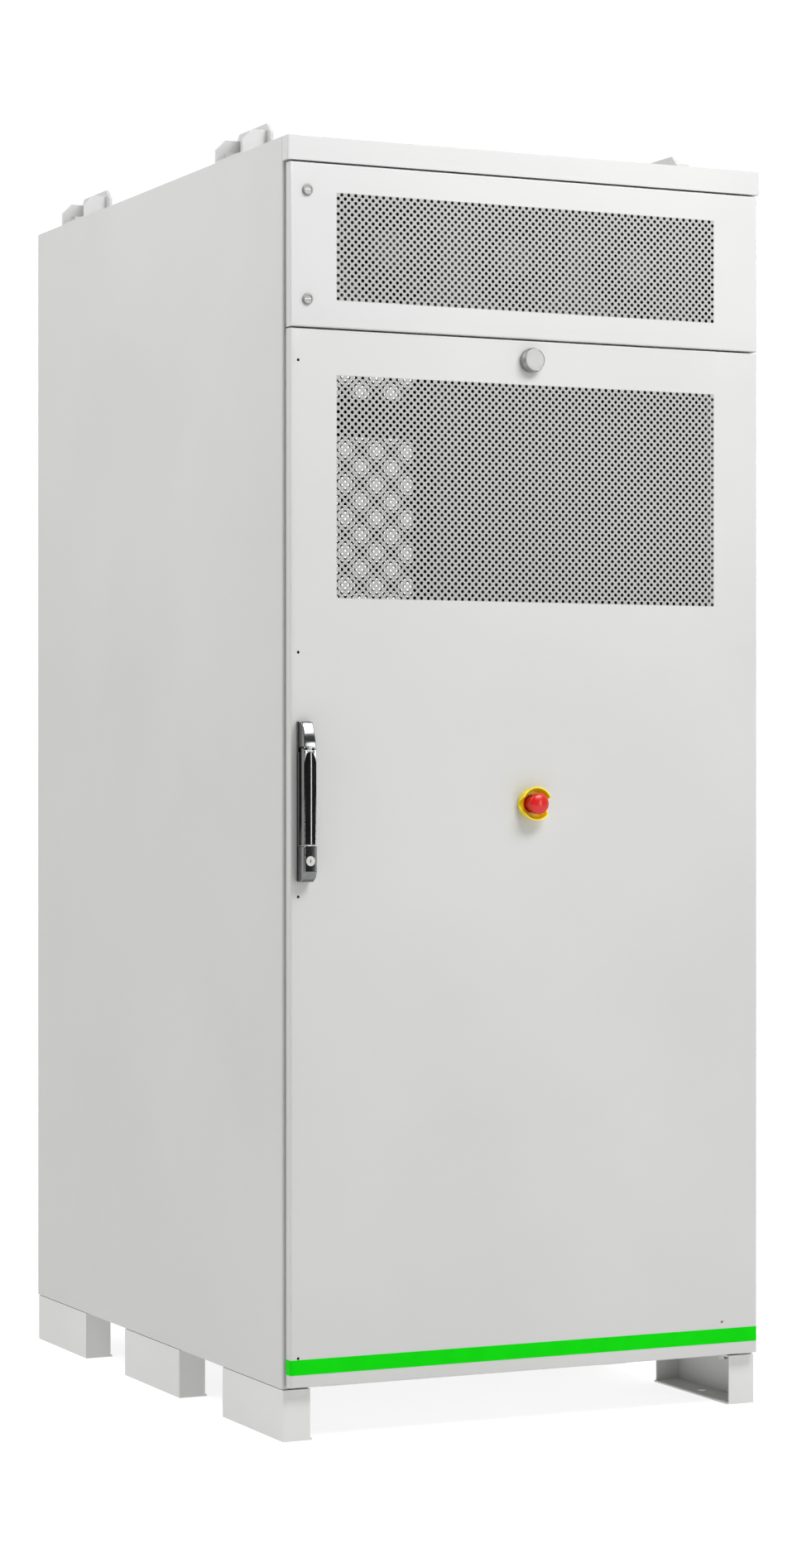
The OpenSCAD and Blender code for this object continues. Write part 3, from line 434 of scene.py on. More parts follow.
# %% Perforated fields
def punched_field(bm, low, high, columns, rows, hole_r, thickness):
    """Fills the rectangle from low to high, in the plane of low's Y, with a checkerboard of holes."""
    first = len(bm.verts)
    step = Vector(((high[0] - low[0]) / columns, 0, (high[2] - low[2]) / rows))
    stand = Matrix.Translation((low[0] + step.x, low[1], low[2] + step.z)) @ Matrix.Rotation(pi / 2, 4, "X")
    tile = bmesh.new()
    bmesh.ops.create_grid(tile, x_segments=2, y_segments=2, size=step.x)
    bmesh.ops.scale(tile, vec=(1, step.z / step.x, 1), verts=tile.verts[:])
    for side in (-0.5, 0.5):
        centre = Vector((side * step.x, side * step.z, 0))
        plain = min(tile.faces, key=lambda face: (face.calc_center_median() - centre).length)
        rim = list(plain.edges)
        bmesh.ops.delete(tile, geom=[plain], context="FACES_ONLY")
        ring = bmesh.ops.create_circle(tile, segments=8, radius=hole_r, matrix=Matrix.Translation(centre))
        bmesh.ops.bridge_loops(tile, edges=rim + list({e for v in ring["verts"] for e in v.link_edges}))
    bmesh.ops.transform(tile, matrix=stand, verts=tile.verts[:])
    for axis, reach, wanted in ((0, 2 * step.x, columns), (2, 2 * step.z, rows)):
        have = 1
        while 2 * have < wanted:
            copy = bmesh.ops.duplicate(tile, geom=tile.verts[:] + tile.edges[:] + tile.faces[:])["geom"]
            shift = Vector((0, 0, 0))
            shift[axis] = have * reach
            bmesh.ops.translate(tile, vec=shift, verts=[g for g in copy if isinstance(g, bmesh.types.BMVert)])
            have *= 2
        beyond = [f for f in tile.faces if f.calc_center_median()[axis] > high[axis]]
        bmesh.ops.delete(tile, geom=beyond, context="FACES")
    bmesh.ops.remove_doubles(tile, verts=tile.verts[:], dist=1e-5)
    bmesh.ops.recalc_face_normals(tile, faces=tile.faces[:])
    if sum(face.normal.y for face in tile.faces) > 0:
        bmesh.ops.reverse_faces(tile, faces=tile.faces[:])
    bmesh.ops.solidify(tile, geom=tile.faces[:], thickness=thickness)
    sheet = bpy.data.meshes.new("sheet")
    tile.to_mesh(sheet)
    tile.free()
    bm.from_mesh(sheet)
    bpy.data.meshes.remove(sheet)


COLUMNS, HOLE_R = 113, 2.75 * MM
for node, rows in (("main_door_grille", 58), ("vent_door_grille", 28)):
    low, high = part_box(node)
    bm = bmesh.new()
    punched_field(bm, low, high, COLUMNS, rows, HOLE_R, 0.8 * MM)
    # A darker coat on the field and matt black on its back face: painted shade for the dark seen through the
    # holes.
    finished(node + "_punched", bm, BODY_OF[node], punched_coat_painted_shade, (node,),
             in_painted_shade=lambda centre, normal: normal.y > 0.9)

# %% [markdown]
# The back of the cabinet has the same two fields, so on a straight line of sight daylight shows
# through both. They face the other way and are built as one piece each.

# %% Rear perforated fields
low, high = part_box("rear_grilles")
rear_sections = {"lower": (low.z, low.z + 351.5 * MM, 62), "upper": (high.z - 176 * MM, high.z, 31)}
for number, (section, (z_low, z_high, rows)) in enumerate(rear_sections.items()):
    bm = bmesh.new()
    punched_field(bm, (low.x, low.y, z_low), (high.x, low.y, z_high), COLUMNS, rows, HOLE_R, 1.0 * MM)
    # The darker coat on the field and matt black on its inward face: painted shade for the dark seen through
    # the holes.
    finished(f"rear_grille_{section}", bm, "cabinet", punched_coat_painted_shade,
             () if number else ("rear_grilles",), in_painted_shade=lambda centre, normal: normal.y < -0.9)

# %% [markdown]
# ## Doors
# A door starts as one laser-cut sheet. Its four sides are folded back into returns and folded again
# into a narrow flange, which makes a stiff shallow tray. The builder does the same: a rectangle, two
# extrusions, rounded folds, openings cut with planes, and only then the sheet's thickness.

# %% Door trays
def front_lines(bm, y, axis, values):
    """Scores the flat front of a tray with straight cuts across one axis."""
    for value in values:
        flat = [f for f in bm.faces if all(abs(v.co.y - y) < 1e-6 for v in f.verts)]
        edges = {e for f in flat for e in f.edges}
        verts = {v for f in flat for v in f.verts}
        point, normal = Vector((0, y, 0)), Vector((0, 0, 0))
        point[axis], normal[axis] = value, 1
        bmesh.ops.bisect_plane(bm, geom=flat + list(edges) + list(verts), plane_co=point,
                               plane_no=normal, dist=1e-7)


def cut_front(bm, y, x0, x1, z0, z1):
    """Takes out the front faces between two upright and two level cuts that are already there."""
    inside = [f for f in bm.faces if abs(f.calc_center_median().y - y) < 1e-6
              and x0 < f.calc_center_median().x < x1 and z0 < f.calc_center_median().z < z1]
    rim = [e for e in {e for f in inside for e in f.edges} if sum(f in inside for f in e.link_faces) == 1]
    bmesh.ops.delete(bm, geom=inside, context="FACES")
    return rim


def door_tray(name, node, window, holes, hinge_heights, material):
    low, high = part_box(node)
    y, rear = low.y, high.y
    low, high = Vector((-395.5 * MM, y, low.z)), Vector((395.5 * MM, rear, high.z))
    bm = bmesh.new()
    middle, half = (low + high) / 2, (high - low) / 2
    stand = (Matrix.Translation((middle.x, y, middle.z)) @ Matrix.Rotation(pi / 2, 4, "X")
             @ Matrix.Diagonal((half.x, half.z, 1, 1)))
    bmesh.ops.create_grid(bm, x_segments=1, y_segments=1, size=1, matrix=stand)
    for reach, inward in ((rear - y, 0), (0, 12 * MM)):
        rim = [e for e in bm.edges if e.is_boundary]
        grown = [g for g in bmesh.ops.extrude_edge_only(bm, edges=rim)["geom"]
                 if isinstance(g, bmesh.types.BMVert)]
        for vert in grown:
            vert.co.y += reach
            vert.co.x -= inward * (1 if vert.co.x > 0 else -1)
            vert.co.z -= inward * (1 if vert.co.z > middle.z else -1)
    at = lambda edge, value: all(abs(v.co.y - value) < 1e-6 for v in edge.verts)
    round_edges(bm, lambda e: at(e, y), 2.6 * MM, 4)
    round_edges(bm, lambda e: at(e, rear) and abs(e.calc_face_angle()) > 1, 1.2 * MM, 2)
    x0, x1, z0, z1 = window
    front_lines(bm, y, 0, (x0, x1))
    front_lines(bm, y, 2, (z0, z1))
    cut_front(bm, y, x0, x1, z0, z1)
    for x, z, r in holes:
        box = (x - 1.6 * r, x + 1.6 * r, z - 1.6 * r, z + 1.6 * r)
        front_lines(bm, y, 0, box[:2])
        front_lines(bm, y, 2, box[2:])
        rim = cut_front(bm, y, *box)
        turn = Matrix.Translation((x, y, z)) @ Matrix.Rotation(pi / 2, 4, "X")
        ring = bmesh.ops.create_circle(bm, segments=16, radius=r, matrix=turn)
        bmesh.ops.bridge_loops(bm, edges=rim + list({e for v in ring["verts"] for e in v.link_edges}))
    for height in hinge_heights:
        for end in (height - 30 * MM, height + 30 * MM):
            near = [f for f in bm.faces if f.calc_center_median().x > 374 * MM
                    and f.calc_center_median().y > y + 1 * MM]
            parts = near + list({e for f in near for e in f.edges}) + list({v for f in near for v in f.verts})
            bmesh.ops.bisect_plane(bm, geom=parts, plane_co=(0, 0, end), plane_no=(0, 0, 1), dist=1e-7)
        slotted = [f for f in bm.faces if f.calc_center_median().x > 374 * MM
                   and f.calc_center_median().y > y + 2 * MM
                   and abs(f.calc_center_median().z - height) < 30 * MM]
        bmesh.ops.delete(bm, geom=slotted, context="FACES")
    bmesh.ops.recalc_face_normals(bm, faces=bm.faces[:])
    front = [f for f in bm.faces if abs(f.calc_center_median().y - y) < 1e-6]
    if sum(f.normal.y for f in front) > 0:
        bmesh.ops.reverse_faces(bm, faces=bm.faces[:])
    bmesh.ops.solidify(bm, geom=bm.faces[:], thickness=2 * MM)
    # The inside of the tray gets matt black: painted shade.
    return finished(name, bm, BODY_OF[node], material, (node,),
                    in_painted_shade=lambda centre, normal: y + 1.2 * MM < centre.y < rear - 1.2 * MM
                    and abs(centre.x) < 394.3 * MM and low.z + 1.2 * MM < centre.z < high.z - 1.2 * MM)


def window_of(node):
    low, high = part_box(node)
    return low.x, high.x, low.z, high.z


main_hinges = (251 * MM, 861 * MM, 1477 * MM)
vent_hinges = (1699.5 * MM, 1829.5 * MM)
vent_holes = ([(-383.1 * MM, z * MM, 2.2 * MM) for z in (124.5, 802, 1161, 1590)]
              + [(332.7 * MM, 132.5 * MM, 2.2 * MM)])
door_tray("main_door_tray", "main_door_skin", window_of("main_door_grille"), vent_holes, main_hinges,
          door_coat)
# The vent door takes the roof cap's lighter copy of the coat: painted light.
door_tray("vent_door_tray", "vent_door_skin", window_of("vent_door_grille"), [], vent_hinges,
          cap_coat_painted_light)

# %% [markdown]
# Each door hangs on lift-off hinges. A short rolled knuckle sits above and below a bracket's eye, and a
# pin passes through all three. The knuckles are welded inside the door's right return.

# %% Hinge knuckles
hinge_axis = Vector((389, -542.5, 0)) * MM
for body, heights in (("main_door", main_hinges), ("vent_door", vent_hinges)):
    bm = bmesh.new()
    for height in heights:
        for side in (-1, 1):
            middle = height + side * 21.5 * MM
            barrel = filleted([(2.6 * MM, -6 * MM), (4.3 * MM, -6 * MM), (4.3 * MM, 6 * MM),
                               (2.6 * MM, 6 * MM)], 0.7 * MM)
            add_turned(bm, barrel + [Vector((2.6 * MM, -6 * MM))],
                       hinge_axis + Vector((0, 0, middle)), (0, 0, 1), 24)
            add_block(bm, (384.4 * MM, -548.2 * MM, middle - 5.6 * MM),
                      (386.6 * MM, -541 * MM, middle + 5.6 * MM), 0.4 * MM)
    finished(body + "_knuckles", bm, body, bolt_zinc)

# %% [markdown]
# ## Swing handle
# The handle is cast zinc. A back plate carries everything and swells into the lock block at its lower
# end. The shoulder above turns with the lever and is left in satin chrome, as are the lever's
# flanks. The lever's face is coated black and polished, and slightly crowned, so it mirrors one
# upright line of light.

# %% Handle dish and lock block
low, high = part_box("handle_base")
handle_x = (low.x + high.x) / 2
door_y, handle_y = high.y, low.y
LOCK_TOP = 877 * MM
bm = bmesh.new()
add_block(bm, (low.x, door_y - 6 * MM, low.z), (high.x, door_y, high.z), 1.6 * MM, 3)
add_block(bm, (low.x, door_y - 10 * MM, low.z), (high.x, door_y - 1 * MM, 1014 * MM), 1.2 * MM, 3)
block = [(door_y - 5 * MM, low.z + 0.4 * MM), (door_y - 16 * MM, low.z + 0.4 * MM),
         (handle_y + 4 * MM, low.z + 6 * MM),
         (handle_y, low.z + 15 * MM), (handle_y, LOCK_TOP), (door_y - 5 * MM, LOCK_TOP)]
extruded(bm, block, "X", low.x, high.x)
round_edges(bm, lambda e: e.calc_face_angle() > radians(60) and abs(e.verts[0].co.x - e.verts[1].co.x) < 1e-6
            and e.verts[0].co.y < door_y - 6.5 * MM or e.calc_face_angle() > radians(60)
            and e.verts[1].co.y < door_y - 6.5 * MM, 1.4 * MM, 3)
finished("handle_dish", bm, "main_door", handle_satin, ("handle_base",))

bm = bmesh.new()
add_block(bm, (handle_x - 8.2 * MM, handle_y - 0.5 * MM, low.z + 15.5 * MM),
          (handle_x + 10.2 * MM, handle_y + 1.2 * MM, LOCK_TOP - 0.6 * MM), 0.5 * MM, 2)
finished("lock_block_face", bm, "main_door", handle_black)

# %% [markdown]
# The lock is a small barrel with a matt nickel face. It is turned, so it is spun from a profile. The
# keyway is a thin black block in its face: painted shade for the slot.

# %% Lock barrel
low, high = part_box("lock_cylinder")
lock_centre = Vector(((low.x + high.x) / 2, low.y, (low.z + high.z) / 2))
bm = bmesh.new()
barrel = [(0, 0), (7.1 * MM, 0), (7.5 * MM, 0.5 * MM),
          (7.5 * MM, high.y - low.y), (0, high.y - low.y)]
add_turned(bm, filleted(barrel, 0.25 * MM, 2), lock_centre, (0, 1, 0), 48)
finished("lock_barrel", bm, "lock_cylinder", lock_nickel, ("lock_cylinder",))

# A black block where the keyway slot is: painted shade.
bm = bmesh.new()
add_block(bm, lock_centre + Vector((-0.8, -0.04, -2.4)) * MM, lock_centre + Vector((0.8, 0.5, 2.4)) * MM)
finished("lock_keyway_painted_shade", bm, "lock_cylinder", black_plastic)

# %% [markdown]
# The shoulder is a wedge seen from the side: its face leans back towards the top, so it catches the
# light from above. Behind the door it carries a spindle and a crank that pushes the two latch rods.

# %% Handle shoulder, spindle and crank
SPINDLE_Z = 1040 * MM
bm = bmesh.new()
wedge = [(door_y - 6.4 * MM, SPINDLE_Z - 18.5 * MM), (handle_y, SPINDLE_Z - 18.5 * MM),
         (handle_y + 1.6 * MM, SPINDLE_Z - 8 * MM), (door_y - 21.5 * MM, SPINDLE_Z + 8 * MM),
         (door_y - 15 * MM, SPINDLE_Z + 19 * MM), (door_y - 6.4 * MM, SPINDLE_Z + 19 * MM)]
extruded(bm, wedge, "X", handle_x - 9.5 * MM, handle_x + 9.5 * MM)
for vert in bm.verts:
    lean = max(0, (vert.co.z - SPINDLE_Z + 18.5 * MM) / (37.5 * MM))
    front = max(0, min(1, (door_y - 6.4 * MM - vert.co.y) / (15 * MM)))
    vert.co.x += -1.5 * MM * lean * front * (1 if vert.co.x > handle_x else -1)
round_edges(bm, lambda e: e.calc_face_angle() > radians(50), 1.6 * MM, 3)
PIN_Y, PIN_Z = handle_y + 8 * MM, SPINDLE_Z - 23 * MM
add_turned(bm, [(0, 0), (4 * MM, 0), (4 * MM, 8 * MM), (0, 8 * MM)], (handle_x - 4 * MM, PIN_Y, PIN_Z),
           (1, 0, 0), 32)
add_block(bm, (handle_x - 4 * MM, PIN_Y - 3 * MM, PIN_Z),
          (handle_x + 4 * MM, PIN_Y + 3 * MM, SPINDLE_Z - 18 * MM), 0.4 * MM)
finished("handle_shoulder", bm, "handle_hub", handle_satin, ("handle_hub",))

bm = bmesh.new()
low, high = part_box("handle_hub")
add_turned(bm, filleted([(0, 0), (6 * MM, 0), (6 * MM, 26.5 * MM), (0, 26.5 * MM)], 0.6 * MM),
           (handle_x, door_y - 6.5 * MM, SPINDLE_Z), (0, 1, 0), 32)
add_block(bm, (handle_x - 15 * MM, -529 * MM, SPINDLE_Z - 6 * MM),
          (handle_x + 15 * MM, -526 * MM, SPINDLE_Z + 6 * MM), 1.2 * MM, 3)
for side in (-1, 1):
    add_turned(bm, filleted([(0, 0), (2.5 * MM, 0), (2.5 * MM, 2.7 * MM), (0, 2.7 * MM)], 0.3 * MM),
               (handle_x + side * 12 * MM, -526.2 * MM, SPINDLE_Z), (0, 1, 0), 24)
add_turned(bm, filleted([(0, 0), (2 * MM, 0), (2 * MM, 19 * MM), (0, 19 * MM)], 0.3 * MM),
           (handle_x - 9.5 * MM, PIN_Y, PIN_Z), (1, 0, 0), 24)
finished("handle_spindle", bm, "handle_hub", bolt_zinc)

# %% [markdown]
# The lever's core is the satin casting. A crowned black face covers its front, and the grey flank stays
# visible at the left.

# %% Handle lever
low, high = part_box("handle_lever")
bm = bmesh.new()
SEAM = PIN_Z - 4.6 * MM
grip = [(handle_y + 1.2 * MM, SEAM), (handle_y + 1.0 * MM, low.z), (handle_y + 15 * MM, low.z),
        (handle_y + 15.6 * MM, low.z + 13 * MM), (handle_y + 12.6 * MM, low.z + 30 * MM),
        (handle_y + 12.6 * MM, SEAM)]
extruded(bm, grip, "X", low.x, high.x)
prong = [(handle_y + 12.6 * MM, SEAM), (handle_y + 13 * MM, high.z), (handle_y + 5.5 * MM, high.z),
         (handle_y + 1.2 * MM, high.z - 3 * MM), (handle_y + 1.2 * MM, SEAM)]
for start, end in ((low.x, handle_x - 4.4 * MM), (handle_x + 4.4 * MM, high.x)):
    extruded(bm, prong, "X", start, end)
round_edges(bm, lambda e: e.calc_face_angle() > radians(50)
            and not all(abs(v.co.z - SEAM) < 0.1 * MM for v in e.verts), 0.9 * MM, 3)
add_block(bm, (handle_x - 4.5 * MM, handle_y + 1.2 * MM, SEAM),
          (handle_x + 4.5 * MM, handle_y + 2.6 * MM, high.z - 3.2 * MM))
finished("lever_casting", bm, "handle_lever", handle_satin, ("handle_lever",))

bm = bmesh.new()
face_left, face_right = low.x + 0.5 * MM, high.x - 0.3 * MM
stand = (Matrix.Translation(((face_left + face_right) / 2, handle_y + 1.2 * MM,
                             (low.z + high.z - 3 * MM) / 2))
         @ Matrix.Rotation(pi / 2, 4, "X")
         @ Matrix.Diagonal(((face_right - face_left) / 2, (high.z - low.z - 5 * MM) / 2, 1, 1)))
bmesh.ops.create_grid(bm, x_segments=14, y_segments=24, size=1, matrix=stand)
for vert in bm.verts:
    u = (vert.co.x - face_left) / (face_right - face_left)
    top = max(0, (vert.co.z - (high.z - 26 * MM)) / (24 * MM))
    vert.co.y -= 0.8 * MM * (1 - (2 * u - 1) ** 2) - 1.0 * MM * top ** 2
bmesh.ops.solidify(bm, geom=bm.faces[:], thickness=1.6 * MM)
finished("lever_black_face", bm, "handle_lever", handle_black, crease=50)

# %% [markdown]
# ## Emergency stop
# The mushroom head is red on a yellow guard. The guard is a moulded cup with two tall lobes, above and
# below, and two low saddles at the sides where fingers reach the head. The saddles sit a little below
# the middle. The cup is spun, and its wall is then cut down to a height that depends on the direction.

# %% Stop guard
low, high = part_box("stop_guard")
stop_centre = Vector(((low.x + high.x) / 2, high.y, (low.z + high.z) / 2))
bm = bmesh.new()
cup = [(11.1, 0), (22, 0), (23.8, 11), (25.6, 22), (23.3, 22), (21.5, 11), (20.1, 4), (19, 3), (11.1, 3),
       (11.1, 0)]
verts = add_turned(bm, filleted([(r * MM, h * MM) for r, h in cup], 0.7 * MM), stop_centre, (0, -1, 0), 96)
for vert in verts:
    offset = vert.co - stop_centre
    height, side = -offset.y, offset.z / MM
    rise = (side - 3) / 7 if side > 0 else (-4 - side) / 13.5
    wall = 5 * MM + 17 * MM * max(0, min(1, rise)) ** 1.2
    if height > 3.2 * MM:
        cut_height = 3.2 * MM + (height - 3.2 * MM) * (wall - 3.2 * MM) / (18.8 * MM)
        radius = Vector((offset.x, 0, offset.z))
        radius -= radius.normalized() * (height - cut_height) * 3.6 / 22
        vert.co = stop_centre + radius - Vector((0, cut_height, 0))
finished("stop_guard_cup", bm, "main_door", guard_yellow, ("stop_guard",))

# %% [markdown]
# The head is a satin dome over a straight rim. The hollow skirt below it slides over a fixed red
# sleeve, and looks darker in the guard's shade. These are turned parts, so they are spun.

# %% Stop head, skirt and body
bm = bmesh.new()
dome = [(0, 34.95), (4, 34.7), (8, 33.8), (12, 32.3), (14.4, 30.6), (15.7, 29), (16, 27.4), (16, 23.6),
        (15.1, 22.3),
        (5.1, 22.3), (5.1, 26), (0, 26)]
add_turned(bm, filleted([(r * MM, h * MM) for r, h in dome], 1.2 * MM), stop_centre, (0, -1, 0), 64)
finished("stop_mushroom", bm, "stop_head", button_red, ("stop_head",), 50)

bm = bmesh.new()
skirt = [(0, -14), (8, -14), (8, 14.6), (11.4, 14.6), (11.4, 9.8), (12.5, 9.8), (12.5, 21.9), (5, 21.9),
         (5, 25.6), (0, 25.6)]
add_turned(bm, filleted([(r * MM, h * MM) for r, h in skirt], 0.5 * MM), stop_centre, (0, -1, 0), 48)
finished("stop_skirt", bm, "stop_plunger", button_red, ("stop_plunger",))

bm = bmesh.new()
sleeve = [(8.3, 9), (11, 9), (11, 4.3), (14, 4.3), (14, 3.1), (8.3, 3.1), (8.3, 9)]
add_turned(bm, filleted([(r * MM, h * MM) for r, h in sleeve], 0.3 * MM), stop_centre, (0, -1, 0), 48)
finished("stop_sleeve", bm, "main_door", button_red)

bm = bmesh.new()
collar = [(8.3, 3), (11, 3), (11, -22), (8.3, -22), (8.3, 3)]
add_turned(bm, filleted([(r * MM, h * MM) for r, h in collar], 0.5 * MM), stop_centre, (0, -1, 0), 48)
behind = stop_centre + Vector((0, 22 * MM, 0))
add_block(bm, behind + Vector((-15, 0, -20)) * MM, behind + Vector((15, 14, 20)) * MM, 1 * MM)
add_block(bm, behind + Vector((-14, 14.2, -19)) * MM, behind + Vector((14, 31.8, 19)) * MM, 1 * MM)
for side in (-1, 1):
    for height in (-12, 12):
        add_turned(bm, filleted([(0, 0), (3 * MM, 0), (3 * MM, 1.6 * MM), (0, 1.6 * MM)], 0.3 * MM),
                   behind + Vector((side * 7, 7, height)) * MM, (0, 0, 1), 16)
finished("stop_contact_block", bm, "main_door", black_plastic, ("stop_body",))

# %% [markdown]
# ## Lamp cap and vent latches
# The round cap above the grille is turned alloy with a narrow bevel and a flat grey face. The two vent
# latches are quarter-turn screws with a wide slot; a cam behind the sheet holds the door.

# %% Lamp cap
low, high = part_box("lamp_body")
lamp_centre = Vector((0, -550 * MM, (low.z + high.z) / 2))
bm = bmesh.new()
cap = [(15.4, 14.6), (15.4, 15), (16.2, 15), (17.6, 11.5), (18.5, 10), (18.5, 0), (11, 0), (11, -33),
       (9, -33), (9, 11), (15.4, 11), (15.4, 14.6)]
add_turned(bm, filleted([(r * MM, h * MM) for r, h in cap], 0.5 * MM), lamp_centre, (0, -1, 0), 64)
finished("lamp_cap", bm, "main_door", cap_alloy, ("lamp_body",))

bm = bmesh.new()
face = [(0, 15), (12, 14.95), (15.3, 14.6), (15.3, 11.2), (0, 11.2)]
add_turned(bm, filleted([(r * MM, h * MM) for r, h in face], 0.5 * MM), lamp_centre, (0, -1, 0), 64)
finished("lamp_face", bm, "main_door", cap_face, ("lamp_lens",))

# %% Vent latches
for node in ("upper_vent_latch", "lower_vent_latch"):
    low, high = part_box(node)
    centre = Vector((-368.4 * MM, -550 * MM, (low.z + high.z) / 2))
    bm = bmesh.new()
    head = [(0, 3.6), (5.2, 3.6), (5.6, 4.5), (7.0, 4.5), (8, 3.4), (8, 0.2), (5, 0.2), (5, -24.8),
            (0, -24.8)]
    add_turned(bm, filleted([(r * MM, h * MM) for r, h in head], 0.3 * MM), centre, (0, -1, 0), 40)
    add_block(bm, centre + Vector((-16, 22, -5)) * MM, centre + Vector((5, 25, 5)) * MM, 0.8 * MM)
    finished(node + "_screw", bm, node, latch_nickel, (node,))
    bm = bmesh.new()
    add_block(bm, centre + Vector((-4.8, -3.9, -0.8)) * MM, centre + Vector((4.8, -3.4, 0.8)) * MM, 0.15 * MM)
    finished(node + "_slot", bm, node, cap_alloy)

# %% [markdown]
# ## Folded sheet, frame and base
# The covers, rails, posts, lugs and feet keep the frame's own shape. Real folds and sawn ends are never
# knife sharp, so each copy has its edges rounded by about half a millimetre, more on cast parts. That
# thin bright edge is what makes painted steel look like steel.

# %% Covers, lugs, feet and frame
# The inward faces of the covers get matt black: painted shade for the dark inside.
inner_faces = {
    "roof_cap": lambda centre, normal: normal.z < -0.9 and centre.y > -529 * MM,
    "left_side_panel": lambda centre, normal: normal.x > 0.9 and centre.y > -526 * MM,
    "right_side_panel": lambda centre, normal: normal.x < -0.9 and centre.y > -526 * MM,
    "rear_panel": lambda centre, normal: normal.y < -0.9}
# Roof cap in the lighter copy of the coat, panels in the darker one: painted light and painted shade.
for (node, in_painted_shade), material, radius in zip(inner_faces.items(),
                                           (cap_coat_painted_light, panel_coat_painted_shade, panel_coat_painted_shade, panel_coat_painted_shade),
                                           (1.0, 0.5, 0.5, 0.5)):
    softened(node, material, radius, in_painted_shade=in_painted_shade)
# Lugs in the lighter copy of the coat, rails in the darker one: painted light and painted shade.
for node, material, slot, radius in (
        ("lifting_lugs", cap_coat_painted_light, "side_panel_paint", 0.9),
        ("front_feet", foot_coat, "foot_paint", 0.9),
        ("middle_feet", foot_coat, "foot_paint", 0.9),
        ("rear_feet", foot_coat, "foot_paint", 0.9),
        ("base_side_rails", panel_coat_painted_shade, "side_panel_paint", 0.8),
        ("base_cross_rails", panel_coat_painted_shade, "side_panel_paint", 0.8),
        ("door_cross_rail", panel_coat_painted_shade, "side_panel_paint", 0.8),
        # Floor plate and door stiffeners take the darker inside coat: painted shade.
        ("floor_plate", inside_coat_painted_shade, "frame_steel", 0.4),
        ("gland_plate", plate_zinc, "frame_steel", 0.4),
        ("corner_posts", frame_zinc, "frame_steel", 0.8),
        ("top_side_rails", frame_zinc, "frame_steel", 0.8),
        ("top_cross_rails", frame_zinc, "frame_steel", 0.8),
        ("mounting_panel", plate_zinc, "frame_steel", 0.4),
        ("fan_plate", black_plastic, "frame_steel", 0.4),
        ("door_stiffeners", inside_coat_painted_shade, "frame_steel", 0.8),
        ("hinge_brackets", bolt_zinc, "zinc_hardware", 0.5),
        ("frame_bolts", bolt_zinc, "zinc_hardware", 0.4),
        ("hinge_pins", rod_zinc, "zinc_hardware", 0.4),
        ("upper_latch_rod", rod_zinc, "zinc_hardware", 0.6),
        ("lower_latch_rod", rod_zinc, "zinc_hardware", 0.6),
        ("rod_guides", black_plastic, "black_plastic", 0.8),
        ("main_door_gasket", door_seal, "seal_rubber", 0.8),
        ("vent_door_gasket", door_seal, "seal_rubber", 0.8),
        ("door_stripe", green_film, "green_film", 0.05)):
    softened(node, material, radius)

# %% [markdown]
# ## Transformer
# The core's yokes and limbs are stacked steel, pressed by painted beams with tie rods. Round each limb
# sit two windings: foil inside, cast resin outside. The resin rolls over at both ends and carries two
# terminal studs in front, joined by a tapping link.

# %% Core, clamps, pads and busbars
for node, material, slot, radius in (
        ("core_yokes", core_steel, "core_steel", 1.5),
        ("core_limbs", core_steel, "core_steel", 1.5),
        ("core_clamps", clamp_paint, "clamp_paint", 2.0),
        ("vibration_pads", seal_rubber, "seal_rubber", 2.5),
        ("busbars", copper_bar, "copper", 1.0),
        ("earth_bar", copper_bar, "copper", 0.8),
        ("terminal_blocks", terminal_plastic, "terminal_plastic", 0.7),
        ("fan_housings", black_plastic, "black_plastic", 1.2),
        ("breaker_toggle", black_plastic, "black_plastic", 1.0)):
    softened(node, material, radius, 3)

# %% Windings
low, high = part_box("high_voltage_windings")
core_y, limb_pitch = (low.y + high.y) / 2, 235 * MM
bm = bmesh.new()
for limb in (-1, 0, 1):
    coil = [(92, 0), (112, 0), (112, high.z / MM - low.z / MM), (92, high.z / MM - low.z / MM), (92, 0)]
    profile = filleted([(102 * MM, 0)] + [(r * MM, h * MM) for r, h in coil[1:4]]
                       + [(92 * MM, 0), (102 * MM, 0)], 6 * MM, 5)
    add_turned(bm, profile, (limb * limb_pitch, core_y, low.z), (0, 0, 1), 72)
finished("resin_windings", bm, "cabinet", winding_resin, ("high_voltage_windings",))

low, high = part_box("low_voltage_windings")
bm = bmesh.new()
for limb in (-1, 0, 1):
    top = high.z - low.z
    coil = [(81 * MM, 0), (88 * MM, 0), (88 * MM, top), (74 * MM, top), (74 * MM, 0), (81 * MM, 0)]
    add_turned(bm, filleted(coil, 2 * MM), (limb * limb_pitch, core_y, low.z), (0, 0, 1), 72)
finished("foil_windings", bm, "cabinet", winding_foil, ("low_voltage_windings",))

# %% [markdown]
# ## Switchgear
# The breaker is a moulded case with a raised bridge round its toggle, three terminal wells above and
# below, and cooling slots. The case is one moulding, so its corners are generously round.

